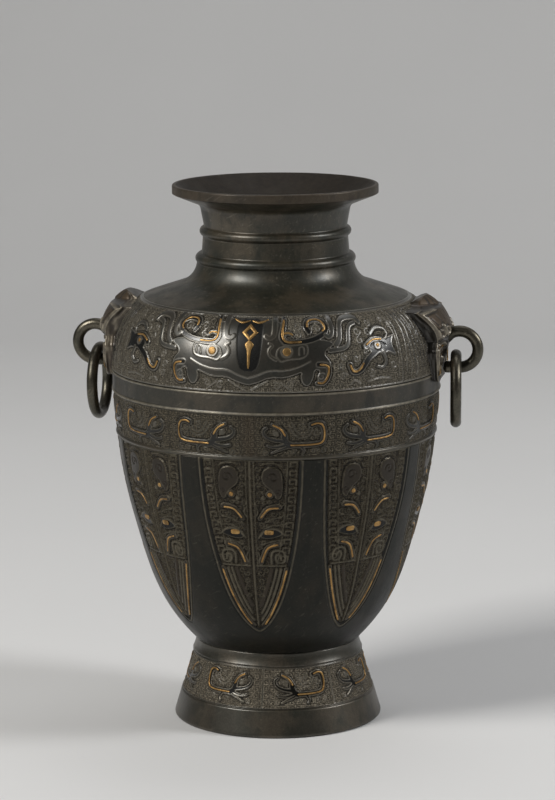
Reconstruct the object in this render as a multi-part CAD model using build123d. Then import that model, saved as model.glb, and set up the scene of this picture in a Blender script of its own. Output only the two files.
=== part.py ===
from build123d import *
import os
from math import acos, asin, cos, degrees, radians, sin, sqrt, tan

# Archaistic bronze hu vessel: millimetres, +Z up, origin at the middle of the foot's resting face.
# The front is -Y, and the two ring handles are at -X (left) and +X (right).

# Heights of the zones, stacked from the floor up
FOOT_HEIGHT = 57.0
LEAF_ZONE_HEIGHT = 149.3
BELLY_BAND_HEIGHT = 30.7
PLAIN_BAND_HEIGHT = 16.0
SHOULDER_BAND_HEIGHT = 49.0
SHOULDER_RISE = 24.5
NECK_HEIGHT = 25.0
FLARE_HEIGHT = 22.8
LIP_HEIGHT = 6.7

# Outer radii of the body, and the walls
BELLY_RADIUS = 116.2
WAIST_RADIUS = 58.2
LEAF_LOW_INSET = 33.4
LEAF_LOW_RISE = 33.3
LEAF_MID_INSET = 17.1
LEAF_MID_RISE = 80.2
LEAF_TOP_INSET = 3.4
SHOULDER_INSET = 21.0
BAND_TOP_SLOPE = 24.0
SHOULDER_SLOPE = 18.8
NECK_BASE_RADIUS = 55.2
NECK_RADIUS = 51.9
NECK_TOP_RADIUS = 50.2
FLARE_RADIUS = 53.0
FLARE_CORNER = 7.3
RIM_RADIUS = 72.4
LIP_ROUND = 1.2
LIP_UNDER_ROUND = 0.4
LIP_FLAT = 1.4
WALL = 4.0
NECK_WALL = 4.4
# The wall measured level grows where it leans: at the leaf zone's middle and low stations
MID_LEAN = 1.03
LOW_LEAN = 1.2
# Inside of the neck: how far the throat opens below the lip, and the slope under the shoulder
THROAT_OPENING = 2.0
THROAT_DROP = 1.5
INNER_SHOULDER_SLOPE = 0.28

# Ribs, threads and grooves that part the zones
RIB_HEIGHT = 6.4
RIB_BULGE = 2.7
RIB_PEAK = 0.55
HIGH_RIB_STEP = 0.8
THREAD_HEIGHT = 2.2
THREAD_BULGE = 0.8
BAND_STEP = 0.9
BELLY_FOOT_STEP = 0.2
BELLY_BAND_BULGE = 0.5
GROOVE_WIDTH = 1.4
GROOVE_DEPTH = 0.8
SHOULDER_CORNER = 2.0
SHOULDER_FILLET = 19.0
FLARE_FILLET = 6.0
LEAF_FOOT_TANGENT = (1.0, 1.0)
LEAF_TOP_TANGENT = (0.1, 1.0)

# Solder seams of the body: the neck is let into the shoulder, just inside its groove
NECK_SEAM_INSET = 2.2
SOLDER_GAP = 0.1

# Foot ring, the spigot that centres it, and the let-in base plate
FOOT_RADIUS = 74.5
FOOT_WALL = 5.0
FOOT_EDGE_ROUND = 2.0
FOOT_BAND_LOW = 20.0
FOOT_BAND_TOP = 47.0
FOOT_BAND_TOP_RADIUS = 60.6
FOOT_CURVE_SAG = 0.6
WAIST_SAG = 0.5
SPIGOT_RADIUS = 54.0
SPIGOT_DEPTH = 7.0
SPIGOT_CLEARANCE = 0.1
PLATE_RADIUS = 49.0
PLATE_THICKNESS = 4.0
PLATE_CLEARANCE = 0.1
LEDGE_WIDTH = 4.0
LEDGE_HEIGHT = 3.5

# Beast masks: places along the wall are heights above the shoulder band's foot
MASK_CHIN = -7.0
MASK_SPLIT = 21.0
MASK_TOP = 52.6
MASK_FACE_HALF = 29.0
MASK_FACE_PROUD = 2.2
MASK_JAW_HALF = 25.0
MASK_HORN_WAIST = 26.0
MASK_HORN_HALF = 34.0
MASK_HORN_HEIGHT = 43.0
MASK_HORN_THICKNESS = 2.0
MASK_CROWN_HALF = 15.0
MASK_CROWN_TAPER = 6.5
MASK_CROWN_DEPTH = 16.0
MASK_BACK_PLACE = 3.0
MASK_LAP = 6.0
MASK_CHEEK_STEP = 7.0
MASK_NOSE_PROUD = 9.0
MASK_NOSE_PEAK = 3.0
MASK_NOSE_RISE = 8.0
MASK_TURN_RADIUS = 50.0
MASK_EYE_PLACE = 14.0
MASK_EYE_RISE = 14.0
MASK_EYE_SIZE = 4.5

# Hooks, their shanks and roves, and the loose rings
HOOK_RISE = 13.4
HOOK_REACH = 15.0
HOOK_LOOP_RADIUS = 12.7
HOOK_ROD_RADIUS = 4.2
HOOK_START = 130.0
HOOK_END_REACH = 11.0
SHANK_RADIUS = 3.0
SHANK_CLEARANCE = 0.1
ROVE_RADIUS = 8.0
ROVE_THICKNESS = 1.6
ROVE_GAP = 0.05
HEAD_RADIUS = 5.0
HEAD_THICKNESS = 2.0
RING_RADIUS = 23.6
RING_ROD_RADIUS = 3.9
RING_CLEARANCE = 0.3
RING_SETBACK = 2.6
RIGHT_RING_TURN = 6.0
LEFT_RING_TURN = -1.0

# Gold inlay: strips hammered into the bronze, so each overlaps the wall by its depth
GOLD_WIDTH = 1.7
GOLD_DEPTH = 0.6
GOLD_PROUD = 0.2
BEND_SHARE = 0.45
CORNER_CUT = 0.25
CURVE_STEPS = 200
OVAL_ANGLES = (72, 45, 15, -15, -45, -72)
LEAF_COUNT = 8
BELLY_DRAGONS = 3
BELLY_DRAGON_STEP = 28.0
BELLY_DRAGON_START = 15.0
FOOT_DRAGONS = 2
FOOT_DRAGON_STEP = 45.0
FOOT_DRAGON_START = 23.0
FOOT_DRAGON_DROP = 0.6
FOOT_DRAGON_SQUEEZE = 0.86

# Radii that follow the belly's
LEAF_LOW_RADIUS = BELLY_RADIUS - LEAF_LOW_INSET
LEAF_MID_RADIUS = BELLY_RADIUS - LEAF_MID_INSET
LEAF_TOP_RADIUS = BELLY_RADIUS - LEAF_TOP_INSET
SHOULDER_RADIUS = BELLY_RADIUS - SHOULDER_INSET

# Heights of the zones' edges
LEAF_TOP_Z = FOOT_HEIGHT + LEAF_ZONE_HEIGHT
PLAIN_Z = LEAF_TOP_Z + BELLY_BAND_HEIGHT
BAND_Z = PLAIN_Z + PLAIN_BAND_HEIGHT
SHOULDER_Z = BAND_Z + SHOULDER_BAND_HEIGHT
NECK_Z = SHOULDER_Z + SHOULDER_RISE
FLARE_Z = NECK_Z + NECK_HEIGHT
LIP_Z = FLARE_Z + FLARE_HEIGHT
RIM_Z = LIP_Z + LIP_HEIGHT
BELT_SEAM_Z = BAND_Z - GROOVE_WIDTH / 2
NECK_SEAM_RADIUS = SHOULDER_RADIUS - NECK_SEAM_INSET

# The shoulder band is a quarter of an ellipse: upright at its foot, BAND_TOP_SLOPE at its top
_cos_top = SHOULDER_INSET / (SHOULDER_BAND_HEIGHT / tan(radians(BAND_TOP_SLOPE)) - SHOULDER_INSET)
BAND_TOP_ANGLE = degrees(acos(_cos_top))
BAND_A = SHOULDER_INSET / (1 - _cos_top)
BAND_B = SHOULDER_BAND_HEIGHT / sin(radians(BAND_TOP_ANGLE))
BAND_CENTRE = BELLY_RADIUS - BAND_A


def band_radius(z, offset=0.0):
    """Radius of the shoulder band's surface at height z, moved out by offset."""
    rise = max(z - BAND_Z, 0.0) / (BAND_B + offset)
    return BAND_CENTRE + (BAND_A + offset) * sqrt(1 - rise**2)


def band_arc(offset=0.0):
    """The shoulder band's curve from its foot upwards, moved out by offset."""
    centre = (BAND_CENTRE, BAND_Z)
    return EllipticalCenterArc(
        centre, BAND_A + offset, BAND_B + offset, start_angle=0, arc_size=BAND_TOP_ANGLE
    )


def leaf_curve():
    """The leaf zone's curve, from the waist up."""
    return Spline(
        (WAIST_RADIUS, FOOT_HEIGHT),
        (LEAF_LOW_RADIUS, FOOT_HEIGHT + LEAF_LOW_RISE),
        (LEAF_MID_RADIUS, FOOT_HEIGHT + LEAF_MID_RISE),
        (LEAF_TOP_RADIUS, LEAF_TOP_Z),
        tangents=[LEAF_FOOT_TANGENT, LEAF_TOP_TANGENT],
    )


def belly_curve():
    """The belly band's slightly bulged curve."""
    low = (LEAF_TOP_RADIUS + BELLY_FOOT_STEP, LEAF_TOP_Z + THREAD_HEIGHT)
    high = (BELLY_RADIUS - BAND_STEP, PLAIN_Z)
    middle = ((low[0] + high[0]) / 2 + BELLY_BAND_BULGE, (low[1] + high[1]) / 2)
    return ThreePointArc(low, middle, high)


def foot_curve():
    """The foot band's curve, slightly hollow, from its low groove to its top groove."""
    slope = (FOOT_RADIUS - FOOT_BAND_TOP_RADIUS) / FOOT_BAND_TOP
    low = (FOOT_RADIUS - slope * FOOT_BAND_LOW, FOOT_BAND_LOW)
    high = (FOOT_BAND_TOP_RADIUS, FOOT_BAND_TOP)
    middle = ((low[0] + high[0]) / 2 - FOOT_CURVE_SAG, (low[1] + high[1]) / 2)
    return ThreePointArc(low, middle, high)


def turned(edges):
    """The solid turned about the vessel's axis from a closed profile of (radius, height) edges."""
    return revolve(Plane.XZ * make_face(edges), axis=Axis.Z)


def chain(*points):
    return Polyline(*points).edges()


def rounded_chain(points, radius):
    return FilletPolyline(*points, radius=radius).edges()


# Vessel body, drawn as one profile
def body_outer():
    """Outer profile from the spigot to the rim's outer edge."""
    shoulder_start = (SHOULDER_RADIUS - GROOVE_WIDTH, SHOULDER_Z + GROOVE_WIDTH / 2)
    corner_radius = NECK_BASE_RADIUS + SHOULDER_CORNER
    corner = (
        corner_radius,
        shoulder_start[1] + (shoulder_start[0] - corner_radius) * tan(radians(SHOULDER_SLOPE)),
    )
    belly = belly_curve()
    leaves = leaf_curve()
    spigot_z = FOOT_HEIGHT - SPIGOT_DEPTH
    edges = chain((SPIGOT_RADIUS, spigot_z), (SPIGOT_RADIUS, FOOT_HEIGHT), leaves @ 0)
    edges += [leaves]
    edges += chain(
        leaves @ 1,
        (LEAF_TOP_RADIUS + THREAD_BULGE, LEAF_TOP_Z + THREAD_HEIGHT / 4),
        (LEAF_TOP_RADIUS + THREAD_BULGE, LEAF_TOP_Z + THREAD_HEIGHT * 3 / 4),
        belly @ 0,
    )
    edges += [belly]
    edges += chain(
        belly @ 1,
        (BELLY_RADIUS, PLAIN_Z + BAND_STEP / 2),
        (BELLY_RADIUS, BAND_Z - GROOVE_WIDTH),
        (BELLY_RADIUS - GROOVE_DEPTH, BAND_Z - GROOVE_WIDTH / 2),
        (BELLY_RADIUS, BAND_Z),
    )
    edges += [band_arc()]
    edges += chain(
        (SHOULDER_RADIUS, SHOULDER_Z),
        (SHOULDER_RADIUS - GROOVE_WIDTH, SHOULDER_Z - GROOVE_DEPTH / 2),
        shoulder_start,
    )
    edges += rounded_chain([shoulder_start, corner, (NECK_BASE_RADIUS, NECK_Z)], SHOULDER_FILLET)
    low_rib = (NECK_RADIUS, NECK_Z + RIB_HEIGHT)
    high_rib = (NECK_TOP_RADIUS + HIGH_RIB_STEP, FLARE_Z - RIB_HEIGHT)
    edges += [
        ThreePointArc(
            (NECK_BASE_RADIUS, NECK_Z),
            ((NECK_BASE_RADIUS + NECK_RADIUS) / 2 + RIB_BULGE, NECK_Z + RIB_HEIGHT * RIB_PEAK),
            low_rib,
        ),
        Line(low_rib, high_rib),
        ThreePointArc(
            high_rib,
            (NECK_TOP_RADIUS + RIB_BULGE + HIGH_RIB_STEP / 2, FLARE_Z - RIB_HEIGHT / 2),
            (NECK_TOP_RADIUS, FLARE_Z),
        ),
    ]
    lip_under = (RIM_RADIUS - LIP_ROUND, LIP_Z)
    edges += rounded_chain(
        [(NECK_TOP_RADIUS, FLARE_Z), (FLARE_RADIUS, LIP_Z - FLARE_CORNER), lip_under], FLARE_FILLET
    )
    edges += rounded_chain(
        [
            lip_under,
            (RIM_RADIUS, LIP_Z + LIP_ROUND / 2),
            (RIM_RADIUS, RIM_Z),
            (RIM_RADIUS - LIP_ROUND - LIP_FLAT, RIM_Z),
        ],
        [LIP_UNDER_ROUND, LIP_ROUND],
    )
    return edges


def body_inner():
    """Inner profile from the rim down to the seat of the base plate."""
    throat = NECK_TOP_RADIUS - NECK_WALL
    band_end = band_arc(-WALL) @ 1
    corner_rise = (band_end.X - NECK_BASE_RADIUS) * INNER_SHOULDER_SLOPE
    corner = (NECK_BASE_RADIUS - NECK_WALL, band_end.Y + corner_rise)
    ledge = PLATE_RADIUS - LEDGE_WIDTH
    edges = rounded_chain(
        [
            (RIM_RADIUS - LIP_ROUND - LIP_FLAT, RIM_Z),
            (throat + THROAT_OPENING, LIP_Z - FLARE_CORNER - THROAT_DROP),
            (throat, FLARE_Z - RIB_HEIGHT),
            (throat, NECK_Z),
            corner,
            band_end,
        ],
        [FLARE_FILLET] * 4,
    )
    edges += [band_arc(-WALL)]
    edges += chain((BELLY_RADIUS - WALL, BAND_Z), (LEAF_TOP_RADIUS - WALL, LEAF_TOP_Z))
    floor = (ledge, FOOT_HEIGHT + LEDGE_HEIGHT)
    edges += [
        Spline(
            (LEAF_TOP_RADIUS - WALL, LEAF_TOP_Z),
            (LEAF_MID_RADIUS - WALL * MID_LEAN, FOOT_HEIGHT + LEAF_MID_RISE),
            (LEAF_LOW_RADIUS - WALL * LOW_LEAN, FOOT_HEIGHT + LEAF_LOW_RISE),
            floor,
        )
    ]
    edges += chain(
        floor,
        (ledge, FOOT_HEIGHT),
        (PLATE_RADIUS, FOOT_HEIGHT),
        (PLATE_RADIUS, FOOT_HEIGHT - SPIGOT_DEPTH),
        (SPIGOT_RADIUS, FOOT_HEIGHT - SPIGOT_DEPTH),
    )
    return edges


def drum(radius, low, high):
    """An upright bar about the vessel's axis between two heights."""
    bar = Cylinder(radius, high - low, align=(Align.CENTER, Align.CENTER, Align.MIN))
    return Pos(0, 0, low) * bar


def body_sections():
    """The turned body, parted at its two solder seams into belly, shoulder and neck."""
    body = turned(body_outer() + body_inner()).solid()
    half_gap = SOLDER_GAP / 2
    beyond = 2 * BELLY_RADIUS
    belly = body & drum(beyond, 0, BELT_SEAM_Z - half_gap)
    shoulder = body & drum(beyond, BELT_SEAM_Z + half_gap, 2 * RIM_Z)
    shoulder -= drum(NECK_SEAM_RADIUS + half_gap, BELT_SEAM_Z, 2 * RIM_Z)
    neck = body & drum(NECK_SEAM_RADIUS - half_gap, BELT_SEAM_Z, 2 * RIM_Z)
    return belly, shoulder, neck


def shoulder_seat():
    """What the masks are cut to: the body's shoulder, grown by the solder gap."""
    grow = SOLDER_GAP
    top = (SHOULDER_RADIUS - GROOVE_WIDTH + grow, SHOULDER_Z + GROOVE_WIDTH / 2 + grow)
    arc = band_arc(grow)
    return turned(
        [arc]
        + chain(
            arc @ 1,
            top,
            (NECK_BASE_RADIUS, top[1] + (top[0] - NECK_BASE_RADIUS) * tan(radians(SHOULDER_SLOPE))),
            (0, NECK_Z),
            (0, LEAF_TOP_Z),
            (BELLY_RADIUS + grow, LEAF_TOP_Z),
            arc @ 0,
        )
    )


# Foot ring and base plate
def foot_ring():
    band = foot_curve()
    low = band @ 0
    high = band @ 1
    bore = SPIGOT_RADIUS + SPIGOT_CLEARANCE
    spigot_z = FOOT_HEIGHT - SPIGOT_DEPTH
    edges = rounded_chain(
        [
            (FOOT_RADIUS - FOOT_WALL, 0),
            (FOOT_RADIUS, 0),
            (low.X + GROOVE_DEPTH / 2, low.Y - GROOVE_WIDTH),
        ],
        [FOOT_EDGE_ROUND],
    )
    edges += chain(
        (low.X + GROOVE_DEPTH / 2, low.Y - GROOVE_WIDTH),
        (low.X - GROOVE_DEPTH, low.Y - GROOVE_WIDTH / 2),
        low,
    )
    edges += [band]
    edges += chain(
        high,
        (high.X - GROOVE_DEPTH, high.Y + GROOVE_WIDTH / 2),
        (high.X, high.Y + GROOVE_WIDTH),
    )
    edges += [
        ThreePointArc(
            (high.X, high.Y + GROOVE_WIDTH),
            ((high.X + WAIST_RADIUS) / 2 - WAIST_SAG, (high.Y + GROOVE_WIDTH + FOOT_HEIGHT) / 2),
            (WAIST_RADIUS, FOOT_HEIGHT),
        )
    ]
    edges += chain(
        (WAIST_RADIUS, FOOT_HEIGHT),
        (bore, FOOT_HEIGHT),
        (bore, spigot_z - GROOVE_WIDTH),
        (FOOT_RADIUS - FOOT_WALL, 0),
    )
    return turned(edges)


def base_plate():
    top = FOOT_HEIGHT - SOLDER_GAP
    plate = Cylinder(
        PLATE_RADIUS - PLATE_CLEARANCE,
        PLATE_THICKNESS,
        align=(Align.CENTER, Align.CENTER, Align.MAX),
    )
    return Pos(0, 0, top) * plate


# Inlay: strips of flat facets that follow a zone's surface
def sampled(curve):
    """Stations along a zone's curve, to look up its radius at a height."""
    edge = curve()
    return [edge @ (step / CURVE_STEPS) for step in range(CURVE_STEPS + 1)]


def surface_point(profile, azimuth, z):
    """A point of a zone's surface, azimuth degrees from the front to the right, and its normal."""
    for low, high in zip(profile, profile[1:]):
        if z <= high.Y:
            break
    radius = low.X + (high.X - low.X) * (z - low.Y) / (high.Y - low.Y)
    turn = radians(azimuth)
    out = Vector(sin(turn), -cos(turn), 0)
    normal = out * (high.Y - low.Y) + Vector(0, 0, low.X - high.X)
    return out * radius + Vector(0, 0, z), normal.normalized()


def wrapped(points, profile, azimuth=0.0, side=1):
    """Flat (distance, height) points, laid on a zone around an azimuth, as (azimuth, height)."""
    places = []
    for x, z in points:
        radius = -surface_point(profile, 0, z)[0].Y
        places.append((side * (azimuth + degrees(asin(x / radius))), z))
    return places


def smoothed(points):
    """A line with its corners cut once."""
    cut_points = [points[0]]
    for first, second in zip(points, points[1:]):
        for share in (CORNER_CUT, 1 - CORNER_CUT):
            cut_points.append(tuple(a + (b - a) * share for a, b in zip(first, second)))
    cut_points[1:2] = []
    cut_points[-1:] = [points[-1]]
    return cut_points


def faceted(sections, closed=False):
    """A solid of flat facets along cross-sections, each a left point, a right point and a normal."""
    rows = []
    for left, right, normal in sections:
        proud = normal * GOLD_PROUD
        depth = normal * GOLD_DEPTH
        rows.append([left + proud, right + proud, right - depth, left - depth])
    following = rows[1:] + rows[:1] if closed else rows[1:]
    faces = []
    for here, there in zip(rows, following):
        for corner in range(4):
            after = (corner + 1) % 4
            faces.append(Face(Wire.make_polygon([here[corner], here[after], there[after]])))
            faces.append(Face(Wire.make_polygon([here[corner], there[after], there[corner]])))
    if not closed:
        faces += [Face(Wire.make_polygon(rows[0])), Face(Wire.make_polygon(rows[-1]))]
    return Solid(Shell(faces))


def strip(points, profile):
    """A line of gold through (azimuth, height) points of a zone."""
    path = [surface_point(profile, *place) for place in smoothed(points)]
    last = len(path) - 1
    sections = []
    for number, (point, normal) in enumerate(path):
        along = path[min(number + 1, last)][0] - path[max(number - 1, 0)][0]
        side = along.cross(normal).normalized() * (GOLD_WIDTH / 2)
        sections.append((point - side, point + side, normal))
    return faceted(sections)


def plate(left, right, profile, closed=False):
    """A plate of gold between two rows of (azimuth, height) points."""
    sections = []
    for start, end in zip(left, right):
        left_point, left_normal = surface_point(profile, *start)
        right_point, right_normal = surface_point(profile, *end)
        sections.append((left_point, right_point, (left_normal + right_normal).normalized()))
    return faceted(sections, closed)


def oval(centre, size, profile, azimuth, side):
    """An oval plate of gold around a flat (distance, height) point."""
    left = []
    right = []
    for angle in OVAL_ANGLES:
        across = size[0] / 2 * cos(radians(angle))
        z = centre[1] + size[1] / 2 * sin(radians(angle))
        left.append((centre[0] - across, z))
        right.append((centre[0] + across, z))
    return plate(
        wrapped(left, profile, azimuth, side), wrapped(right, profile, azimuth, side), profile
    )


def corner_radii(points):
    """The largest bend that fits each corner of a line."""
    radii = []
    for before, here, after in zip(points, points[1:], points[2:]):
        first = Vector(here) - Vector(before)
        second = Vector(after) - Vector(here)
        half_turn = radians(first.get_angle(second)) / 2
        shorter = min(first.length, second.length)
        radii.append(BEND_SHARE * shorter / tan(half_turn))
    return radii


def line_face(points, width=GOLD_WIDTH):
    """A flat line of inlay with round ends."""
    if len(points) == 2:
        path = Wire([Line(*points)])
    else:
        path = FilletPolyline(*points, radius=corner_radii(points)).wire()
    return Face(path.offset_2d(width / 2))


def mirrored(points):
    return [(-x, y) for x, y in points]


def around(solids, azimuths):
    """Copies of solids turned about the vessel's axis."""
    return [Rot(0, 0, turn) * solid for turn in azimuths for solid in solids]


# Taotie of the shoulder: (degrees from the nose line, height above the band's foot)
TAOTIE_LINES = {
    "brow": [(12.6, 47.0), (11.3, 36.0), (13.2, 32.6), (18.6, 33.2)],
    "horn": [(21.2, 42.0), (21.4, 46.6), (26.4, 47.2), (28.2, 42.0), (26.6, 39.2)],
    "claw": [(24.4, 18.0), (27.6, 17.6), (27.4, 11.0), (25.6, 5.2), (23.4, 6.0)],
    "side_head": [(50.0, 31.0), (46.0, 32.4), (42.6, 28.2)],
    "side_tail": [(35.4, 16.6), (36.4, 11.2), (39.0, 12.4), (40.8, 17.2)],
}
TAOTIE_EYE = (13.2, 27.0)
TAOTIE_EYE_SIZE = (5.8, 5.8)
CRESCENT = [(-11.4, 47.2), (-6.0, 44.6), (-0.4, 46.4)]
LOZENGE_RISE = 39.3
LOZENGE_HALF = (5.6, 5.4)
DAGGER_RISE = 31.5
DAGGER = [(0.3, 3.2), (3.2, 0.0), (0.9, -3.2), (0.2, -15.5)]


def taotie_gold():
    """Gold of one taotie face, centred on the front."""
    profile = sampled(band_arc)
    wide, tall = LOZENGE_HALF
    lozenge_z = BAND_Z + LOZENGE_RISE
    outer = [(wide, lozenge_z), (0, lozenge_z + tall), (-wide, lozenge_z), (0, lozenge_z - tall)]
    wide -= 2 * GOLD_WIDTH
    tall -= 2 * GOLD_WIDTH
    inner = [(wide, lozenge_z), (0, lozenge_z + tall), (-wide, lozenge_z), (0, lozenge_z - tall)]
    gold = [plate(wrapped(outer, profile), wrapped(inner, profile), profile, closed=True)]
    dagger_right = [(half, BAND_Z + DAGGER_RISE + rise) for half, rise in DAGGER]
    gold.append(
        plate(wrapped(mirrored(dagger_right), profile), wrapped(dagger_right, profile), profile)
    )
    crescent = [(x, BAND_Z + rise) for x, rise in CRESCENT]
    for side in (-1, 1):
        gold.append(strip(wrapped(crescent, profile, 0, side), profile))
        for line in TAOTIE_LINES.values():
            gold.append(strip([(side * angle, BAND_Z + rise) for angle, rise in line], profile))
        angle, rise = TAOTIE_EYE
        gold.append(oval((0, BAND_Z + rise), TAOTIE_EYE_SIZE, profile, angle, side))
    return gold


# Kui dragon of the belly and foot bands: (distance back from its middle, height above the band)
DRAGON_TAIL = [(12.6, 22.4), (17.0, 24.0), (21.6, 22.0), (22.0, 12.4), (18.2, 9.6), (-1.6, 9.6)]
DRAGON_BROW = [(-13.6, 23.0), (-8.0, 20.6), (-5.0, 15.6)]


def dragon_gold(foot_z, squeeze, profile, azimuth, side):
    """Gold of one dragon whose head points to the panel's middle."""
    gold = []
    for line in (DRAGON_TAIL, DRAGON_BROW):
        points = [(squeeze * x, foot_z + rise) for x, rise in line]
        gold.append(strip(wrapped(points, profile, azimuth, side), profile))
    return gold


# Leaf blade: (distance from the midrib, drop below the leaf's top)
LEAF_LINES = [
    [(19.0, 34.4), (12.8, 34.6), (9.5, 37.4), (6.4, 41.8)],
    [(17.4, 61.2), (10.4, 63.2), (7.8, 68.2), (5.6, 74.6)],
    [(22.2, 80.6), (16.8, 99.0), (9.5, 115.4), (4.6, 123.0)],
]
LEAF_DOT = (13.3, 24.8)
LEAF_DOT_SIZE = (3.0, 3.0)
LEAF_EYE = (11.7, 52.3)
LEAF_EYE_SIZE = (6.6, 3.6)


def leaf_gold():
    """Gold of the leaf blade that faces the front."""
    profile = sampled(leaf_curve)
    gold = []
    for side in (-1, 1):
        for line in LEAF_LINES:
            points = [(x, LEAF_TOP_Z - drop) for x, drop in line]
            gold.append(strip(wrapped(points, profile, 0, side), profile))
        for (x, drop), size in ((LEAF_DOT, LEAF_DOT_SIZE), (LEAF_EYE, LEAF_EYE_SIZE)):
            gold.append(oval((x, LEAF_TOP_Z - drop), size, profile, 0, side))
    return gold


# Beast mask of the right handle
MASK_BACK = SHOULDER_RADIUS + MASK_BACK_PLACE
MASK_CHIN_X = BELLY_RADIUS + MASK_FACE_PROUD


def mask_side_wire():
    """The mask's side view above the split: nose, brow and crown."""
    nose = band_radius(BAND_Z + MASK_SPLIT) + MASK_NOSE_PROUD
    foot_z = BAND_Z + MASK_SPLIT - MASK_LAP
    brow_z = BAND_Z + MASK_HORN_HEIGHT - MASK_HORN_THICKNESS
    crown = (nose - MASK_CROWN_DEPTH, BAND_Z + MASK_TOP)
    front = Spline(
        (nose, foot_z),
        (nose + MASK_NOSE_PEAK, BAND_Z + MASK_SPLIT + MASK_NOSE_RISE),
        (nose - MASK_NOSE_PEAK, brow_z),
        crown,
    )
    return [front] + chain(
        crown, (MASK_BACK, BAND_Z + MASK_TOP), (MASK_BACK, foot_z), (nose, foot_z)
    )


def mask_outline(points):
    """A front view, symmetric about the middle, pushed through along X."""
    right = [(y, BAND_Z + rise) for y, rise in points]
    left = [(-y, z) for y, z in reversed(right)]
    face = make_face(Polyline(*right, *left, close=True))
    return extrude(Plane.YZ * face, amount=2 * BELLY_RADIUS)


def right_mask(seat):
    """Flat lower face with eyes, a turned upper head with horns and crown, cut to the shoulder."""
    head_axis = MASK_CHIN_X - MASK_TURN_RADIUS
    head = revolve(
        Plane.XZ * make_face(mask_side_wire()), axis=Axis((head_axis, 0, 0), (0, 0, 1))
    )
    horns = mask_outline(
        [
            (MASK_HORN_WAIST - MASK_LAP, MASK_SPLIT - MASK_LAP),
            (MASK_HORN_WAIST, MASK_SPLIT + MASK_HORN_THICKNESS),
            (MASK_HORN_HALF, MASK_HORN_HEIGHT),
            (MASK_CROWN_HALF, MASK_HORN_HEIGHT + MASK_HORN_THICKNESS),
            (MASK_CROWN_HALF - MASK_CROWN_TAPER, MASK_TOP),
        ]
    )
    face = mask_outline(
        [
            (MASK_JAW_HALF - MASK_LAP, MASK_CHIN),
            (MASK_JAW_HALF, MASK_CHIN + MASK_LAP),
            (MASK_FACE_HALF, MASK_SPLIT - MASK_LAP),
            (MASK_FACE_HALF - MASK_CHEEK_STEP, MASK_SPLIT),
        ]
    )
    front = Box(
        MASK_CHIN_X, 4 * MASK_FACE_HALF, 4 * MASK_TOP, align=(Align.MIN, Align.CENTER, Align.CENTER)
    )
    face &= Pos(0, 0, BAND_Z) * front
    mask = (head & horns) + face
    for side in (-1, 1):
        at = (MASK_CHIN_X, side * MASK_EYE_PLACE, BAND_Z + MASK_EYE_RISE)
        mask += Pos(*at) * Sphere(MASK_EYE_SIZE / 2)
    room = HOOK_ROD_RADIUS + SHANK_CLEARANCE
    mask = mask - seat - hook_loop(room) - along_x(room, 0, ROOT_X, ROOT_Z)
    return max(mask.solids(), key=lambda solid: solid.volume)


# Hook, rove and ring of the right handle
HOOK_Z = BAND_Z + HOOK_RISE
HOOK_X = band_radius(HOOK_Z) + HOOK_REACH
ROOT_X = HOOK_X + HOOK_LOOP_RADIUS * cos(radians(HOOK_START))
ROOT_Z = HOOK_Z + HOOK_LOOP_RADIUS * sin(radians(HOOK_START))
HINGE_X = HOOK_X - RING_SETBACK
HINGE_Z = HOOK_Z - HOOK_LOOP_RADIUS + HOOK_ROD_RADIUS + RING_CLEARANCE + RING_ROD_RADIUS


def along_x(radius, start, end, z):
    """A round bar along X between two distances from the axis."""
    bar = Cylinder(radius, end - start, align=(Align.CENTER, Align.CENTER, Align.MIN))
    return Pos(start, 0, z) * Rot(0, 90, 0) * bar


def inner_skin(near, far):
    """Turned layer inside the shoulder's wall, from near to far off the inner face."""
    near_arc = band_arc(-WALL - near)
    far_arc = band_arc(-WALL - far)
    return turned(
        [near_arc, far_arc, Line(near_arc @ 0, far_arc @ 0), Line(near_arc @ 1, far_arc @ 1)]
    )


def hook_loop(rod_radius):
    """The open loop, from its round root to its cut-off free end."""
    loop = CenterArc((HOOK_X, HOOK_Z), HOOK_LOOP_RADIUS, HOOK_START, -HOOK_START - 90)
    tail = Line(loop @ 1, loop @ 1 - Vector(HOOK_END_REACH, 0))
    path = Plane.XZ * Wire([loop, tail])
    section = Plane(origin=path @ 0, z_dir=path % 0) * Circle(rod_radius)
    return sweep(section, path=path) + Pos(ROOT_X, 0, ROOT_Z) * Sphere(rod_radius)


def right_hook():
    """The loop, and a shank through the wall with a peened head."""
    hook = hook_loop(HOOK_ROD_RADIUS)
    inner_face = band_radius(ROOT_Z, -WALL)
    head_start = 2 * ROVE_GAP + ROVE_THICKNESS
    shoulder_face = band_radius(ROOT_Z, SOLDER_GAP) + 2 * SHANK_RADIUS
    hook += along_x(HOOK_ROD_RADIUS, shoulder_face, ROOT_X, ROOT_Z)
    hook += along_x(SHANK_RADIUS, inner_face - head_start - HEAD_THICKNESS / 2, ROOT_X, ROOT_Z)
    head = along_x(HEAD_RADIUS, BAND_CENTRE, BELLY_RADIUS, ROOT_Z)
    return hook + (head & inner_skin(head_start, head_start + HEAD_THICKNESS))


def right_rove():
    disc = along_x(ROVE_RADIUS, BAND_CENTRE, BELLY_RADIUS, ROOT_Z)
    hole = along_x(SHANK_RADIUS + SHANK_CLEARANCE, BAND_CENTRE, BELLY_RADIUS, ROOT_Z)
    return (disc & inner_skin(ROVE_GAP, ROVE_GAP + ROVE_THICKNESS)) - hole


def ring(turn):
    """Ring that hangs from the right hook, turned a little about the vertical."""
    torus = Rot(0, 90, 0) * Torus(RING_RADIUS, RING_ROD_RADIUS)
    return Pos(HINGE_X, 0, HINGE_Z) * Rot(0, 0, turn) * Pos(0, 0, -RING_RADIUS) * torus


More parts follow.
